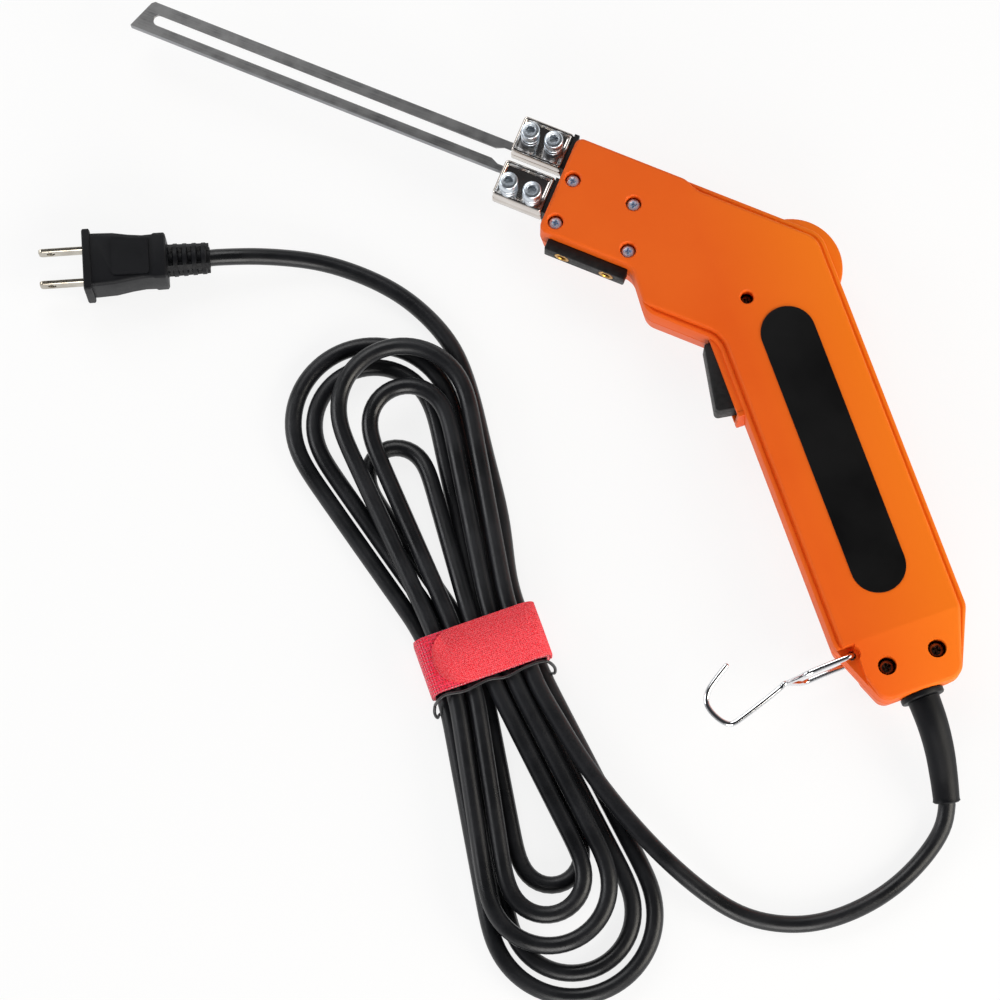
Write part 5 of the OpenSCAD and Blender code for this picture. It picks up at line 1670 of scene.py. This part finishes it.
@dataclass
class CuttingEnd:
    """The blade, its clamps and the guide bar; levels are heights and insets in mm."""

    clamp: Pair = (-22.5, -2.0)
    clamp_w: float = 14.8
    blade_y: float = 5.4
    blade_z: float = 16.2
    blade_t: float = 1.2
    leg: float = 4.35
    tongue: float = 3.0
    ease: float = 0.18
    wedge: tuple[Pair, ...] = ((-0.4, 15.87), (0.75, 17.55), (-0.4, 17.55))
    clamps: tuple[tuple[str, float, float], ...] = (("upper", 14.8, 13.4), ("lower", -4.0, -4.0))
    bar_low: Triple = (-3.0, -2.5, 12.7)
    bar_high: Triple = (44.0, 2.5, 17.3)
    guide_ends: Pair = (4.4, 36.8)
    guide_back: float = -20.02
    guide_z: float = 20.0
    guide_bore: tuple[Pair, ...] = ((3.3, -1.0), (3.3, 0.0), (3.02, 0.3), (3.02, 6.0))
    base_levels: tuple[Pair, ...] = ((12.5, 0.5), (12.65, 0.15), (13.0, 0.0), (17.1, 0.0), (17.35, 0.15))
    plate_levels: tuple[Pair, ...] = ((17.42, 0.15), (17.65, 0.0), (22.0, 0.0), (22.5, 0.1), (22.82, 0.33),
                                      (22.98, 0.65), (23.0, 0.9), (22.88, 1.2), (22.6, 1.5), (22.1, 1.65),
                                      (21.75, 1.8), (21.6, 2.2))
    guide_levels: tuple[Pair, ...] = ((16.0, 0.5), (16.15, 0.15), (16.5, 0.0), (23.5, 0.0), (23.85, 0.15),
                                      (24.0, 0.5))

    def build(self) -> None:
        """Makes the blade, both clamps and the guide bar."""
        for name, y, bar_y in self.clamps:
            low, high = y - self.clamp_w / 2, y + self.clamp_w / 2
            base, plate = (Shape().rings(stack(box(self.clamp[0], low, self.clamp[1], high, radius), levels, 5))
                           for levels, radius in ((self.base_levels, 0.9), (self.plate_levels, 1.4)))
            base.block(*((x, bar_y + across, z) for x, across, z in (self.bar_low, self.bar_high)))
            hand_over(base.piece(f"{name}_clamp_base", Finishes.NICKEL), "nickel", f"{name}_terminal")
            hand_over(plate.piece(f"{name}_clamp_top", Finishes.NICKEL), "nickel", f"{name}_clamp_plate")
        self.build_blade()
        self.build_guide()

    def blade_outline(self) -> Loop:
        """The blade's outline in mm: slanted tip, two legs and two narrow tongues.

        Returns:
            The points of the outline, in order.
        """
        low, high, tip = BLADE_LOW, 2 * self.blade_y - BLADE_LOW, BLADE_TIP
        leg, tongue, slot = self.leg, self.tongue, self.blade_y - BLADE_LOW - self.leg
        neck, back = self.clamp[0] - 6, self.clamp[0] + 17
        points = [(tip, low + 0.8), (tip + 0.8, low), (back, low), (back, low + tongue), (neck + 3, low + tongue),
                  (neck, low + leg)]
        points += [(tip + 9.5 - slot * math.sin(w), self.blade_y - slot * math.cos(w))
                   for w in (math.pi * k / 12 for k in range(13))]
        points += [(neck, high - leg), (neck + 3, high - tongue), (back, high - tongue), (back, high),
                   (tip + 5.2, high), (tip + 4, high - 1)]
        return [Vector(p) for p in points]

    def build_blade(self) -> None:
        """Makes the blade with eased edges and a ground lower edge."""
        shape = Shape()
        face = shape.bm.faces.new([shape.bm.verts.new(TOOL.at(p.x, p.y, self.blade_z)) for p in self.blade_outline()])
        for item in bmesh.ops.extrude_face_region(shape.bm, geom=[face])["geom"]:
            if isinstance(item, bmesh.types.BMVert):
                item.co.z += self.blade_t * MM
        rim = [edge for edge in shape.bm.edges if abs(edge.verts[0].co.z - edge.verts[1].co.z) < 1e-7]
        bmesh.ops.bevel(shape.bm, geom=rim, offset=self.ease * MM, segments=1, profile=0.5, affect="EDGES",
                        clamp_overlap=False)
        blade = shape.piece("cutting_blade", Finishes.BLADE, 12)
        ends = (BLADE_TIP - 1, self.clamp[0] - 2)
        ground = [[TOOL.at(x, BLADE_LOW + y, z) for y, z in self.wedge] for x in ends]
        carve(blade, [Shape().rings(ground)], 12)
        hand_over(blade, "blade_steel", "blade")

    def build_guide(self) -> None:
        """Makes the guide bar with bores for its inserts."""
        face = box(self.guide_ends[0], GUIDE_FACE, self.guide_ends[1], self.guide_back, 0.6)
        bar = Shape().rings(stack(face, self.guide_levels, 5)).piece("guide_block", Finishes.BLACK_PLASTIC)
        seats = [TOOL.at(x, GUIDE_FACE, self.guide_z) for x in INSERT_X]
        carve(bar, [Shape().turned(self.guide_bore, seat, Vector((0, 1, 0))) for seat in seats])
        hand_over(bar, "black_plastic", "guide_bar")


@dataclass
class Grip:
    """The trigger, the label, the hook and the strain relief."""

    middle: float = HANDLE_W / 2
    middle_z: float = HANDLE_Z
    label_ends: Pair = (179.0, 84.5)
    label_radius: float = 10.4
    label_levels: tuple[Pair, ...] = ((FACE_TOP, 0.0), (30.28, 0.0), (30.38, 0.08), (30.4, 0.25))
    trigger_pin: Pair = (79.5, 5.2)
    pin_bore: float = 1.56
    trigger_corners: tuple[Triple, ...] = ((76.6, -4.7, 1.2), (102.6, -9.4, 1.6), (104.4, 2, 1.5), (104.4, 6, 0.8),
                                           (83, 7.6, 1), (76.4, 7.6, 2))
    trigger_levels: tuple[Pair, ...] = ((12.0, 0.6), (12.15, 0.2), (12.6, 0.0), (23.4, 0.0), (23.85, 0.2),
                                        (24.0, 0.6))
    hook_half: float = 9.0
    wire: float = 1.1
    hook_pin: float = 0.98
    hook_joint: Pair = (0.3, -25.4)
    hook_bend: tuple[Pair, ...] = ((1.3, -28), (4.1, -35.9), (7.2, -45.5), (7.9, -48.5), (7.4, -50.8), (4.7, -53.3),
                                   (0.6, -55.2), (-3.1, -55.4), (-6.9, -53.1), (-10.2, -48.7), (-13.2, -43.9))
    flange_profile: tuple[Pair, ...] = ((6.0, 0.02), (8.0, 0.05), (8.3, 0.4), (8.3, 1.8), (8.0, 2.25), (7.4, 2.4),
                                        (6.0, 2.4))

    def build(self) -> None:
        """Makes all pieces of the grip."""
        self.build_trigger()
        self.build_label()
        self.build_hook()
        self.build_relief()

    def build_trigger(self) -> None:
        """Makes the trigger with eased edges and a bore for its pin."""
        form = Shape().rings(stack(self.trigger_corners, self.trigger_levels, 6, TOOL.grip))
        trigger = form.piece("trigger_lever", Finishes.BLACK_PLASTIC)
        bore = [(self.pin_bore, 10), (self.pin_bore, 26)]
        carve(trigger, [Shape().turned(bore, TOOL.grip(*self.trigger_pin, 0), sides=32)])
        hand_over(trigger, "black_plastic", "trigger", body="trigger")

    def build_label(self) -> None:
        """Makes the bare label plate with an eased edge."""
        points = [(t, math.radians(first + 180 * k / 24)) for t, first in zip(self.label_ends, (-90.0, 90.0))
                  for k in range(25)]
        loops = [[TOOL.grip(t + (self.label_radius - cut) * math.cos(w),
                            self.middle + (self.label_radius - cut) * math.sin(w), z) for t, w in points]
                 for z, cut in self.label_levels]
        hand_over(Shape().rings(loops).piece("label_film_plate", Finishes.LABEL), "label_black", "label_plate")

    def hook_run(self, side: int, onward: Sequence[Pair]) -> Loop:
        """One leg of the hook, from its pin through points in mm along and across from the pivot.

        Args:
            side: 1 for the near leg, -1 for the far one.
            onward: Points after the leg, half way between the two legs.

        Returns:
            The middle line of the wire.
        """
        half = self.hook_half
        leg = [(0, 0, half - 1.4), (0, -0.35, half - 0.6), (0.1, -1.0, half - 0.12), (0.2, -2.2, half),
               (0.5, -10, half), (0.9, -17, half), (0.8, -20.5, half * 0.62)]
        rows = [(a, c, side * h) for a, c, h in leg] + [(a, c, 0) for a, c in onward]
        points = [TOOL.grip(HOOK_PIVOT[0] + a, HOOK_PIVOT[1] + c, self.middle_z + h) for a, c, h in rows]
        return smooth_run(points[:4], 4)[:-1] + smooth_run(points[3:], 8)

    def build_hook(self) -> None:
        """Makes the hook of bent wire with its two pins."""
        z, radius = self.middle_z, self.wire * MM
        path = self.hook_run(-1, [self.hook_joint, *self.hook_bend])
        sizes, end = [radius] * len(path), path[-1]
        tip = (end - path[-2]).normalized()
        for w in (k * math.pi / 8.4 for k in range(1, 5)):
            path.append(end + tip * radius * math.sin(w))
            sizes.append(radius * math.cos(w))
        shape = Shape().tube(path, sizes, 14)
        near = self.hook_run(1, [self.hook_joint])
        shares = [max(0.0, i / (len(near) - 1) - 0.8) / 0.2 for i in range(len(near))]
        shape.tube(near, [radius * (1 - 0.25 * share) for share in shares], 14)
        for pin in (z + side * (self.hook_half - 4.1) for side in (-1, 1)):
            shape.turned([(self.hook_pin, pin - 2.9), (self.hook_pin, pin + 2.9)], TOOL.grip(*HOOK_PIVOT, 0), sides=20)
        hand_over(shape.piece("wire_hook", Finishes.CHROME, 60), "bright_wire", "hook", body="hook")

    def build_relief(self) -> None:
        """Makes the strain relief: a flange and a bent sleeve with a lipped end."""
        end, c, z = HANDLE_END, self.middle, self.middle_z
        path = smooth_run([TOOL.grip(end + along, c + across, z + up) for along, across, up in RELIEF_BEND], 10)
        last = len(path) - 1
        sizes = [6.1 - 1.2 * share + 0.25 * math.exp(-((share - 0.975) / 0.02) ** 2)
                 for share in (i / last for i in range(last + 1))]
        sizes[last] -= 0.35
        shape = Shape().tube(path, [size * MM for size in sizes], 32)
        shape.turned(self.flange_profile, TOOL.grip(end, c, z), TOOL.grip(1, 0, 0) - TOOL.grip(0, 0, 0), 56)
        hand_over(shape.piece("strain_relief_sleeve", Finishes.PLUG, 40), "black_rubber", "strain_relief")


class InnerWorks:
    """The solids that stay as they are, most of them inside the housing."""

    FINISHES = {
        "terminal_block": Finishes.BLACK_PLASTIC, "switch_body": Finishes.BLACK_PLASTIC, "trigger_pin": Finishes.ZINC,
        "trigger_spring": Finishes.SPRING, "switch_plunger": Finishes.RED, "switch_tabs": Finishes.BRASS,
        "transformer_core": Finishes.CORE, "coil_former": Finishes.FORMER, "primary_winding": Finishes.COPPER,
        "secondary_loop": Finishes.COPPER, "cord_saddle": Finishes.FORMER, "saddle_screws": Finishes.ZINC,
        "inner_cord": Finishes.RUBBER, "line_wire": Finishes.BROWN, "neutral_wire": Finishes.BLUE,
        "coil_wire": Finishes.BLACK,
    }

    def dress(self) -> None:
        """Gives each solid its finish."""
        for node, finish in self.FINISHES.items():
            for slot in frame["nodes"][node].material_slots:
                slot.material = finish.material()
            LOG.info("%s: dressed in %s", node, finish.name)


def main() -> None:
    """Builds the studio and every piece in order."""
    logging.basicConfig(level=logging.INFO, format="%(message)s")
    Studio().build()
    plug = Plug()
    cord = Cord(plug)
    cord.build(plug.build() + Strap(cord).build())
    housing = Housing()
    housing.build()
    Fasteners().build(housing)
    CuttingEnd().build()
    Grip().build()
    InnerWorks().dress()


if __name__ == "__main__":
    main()
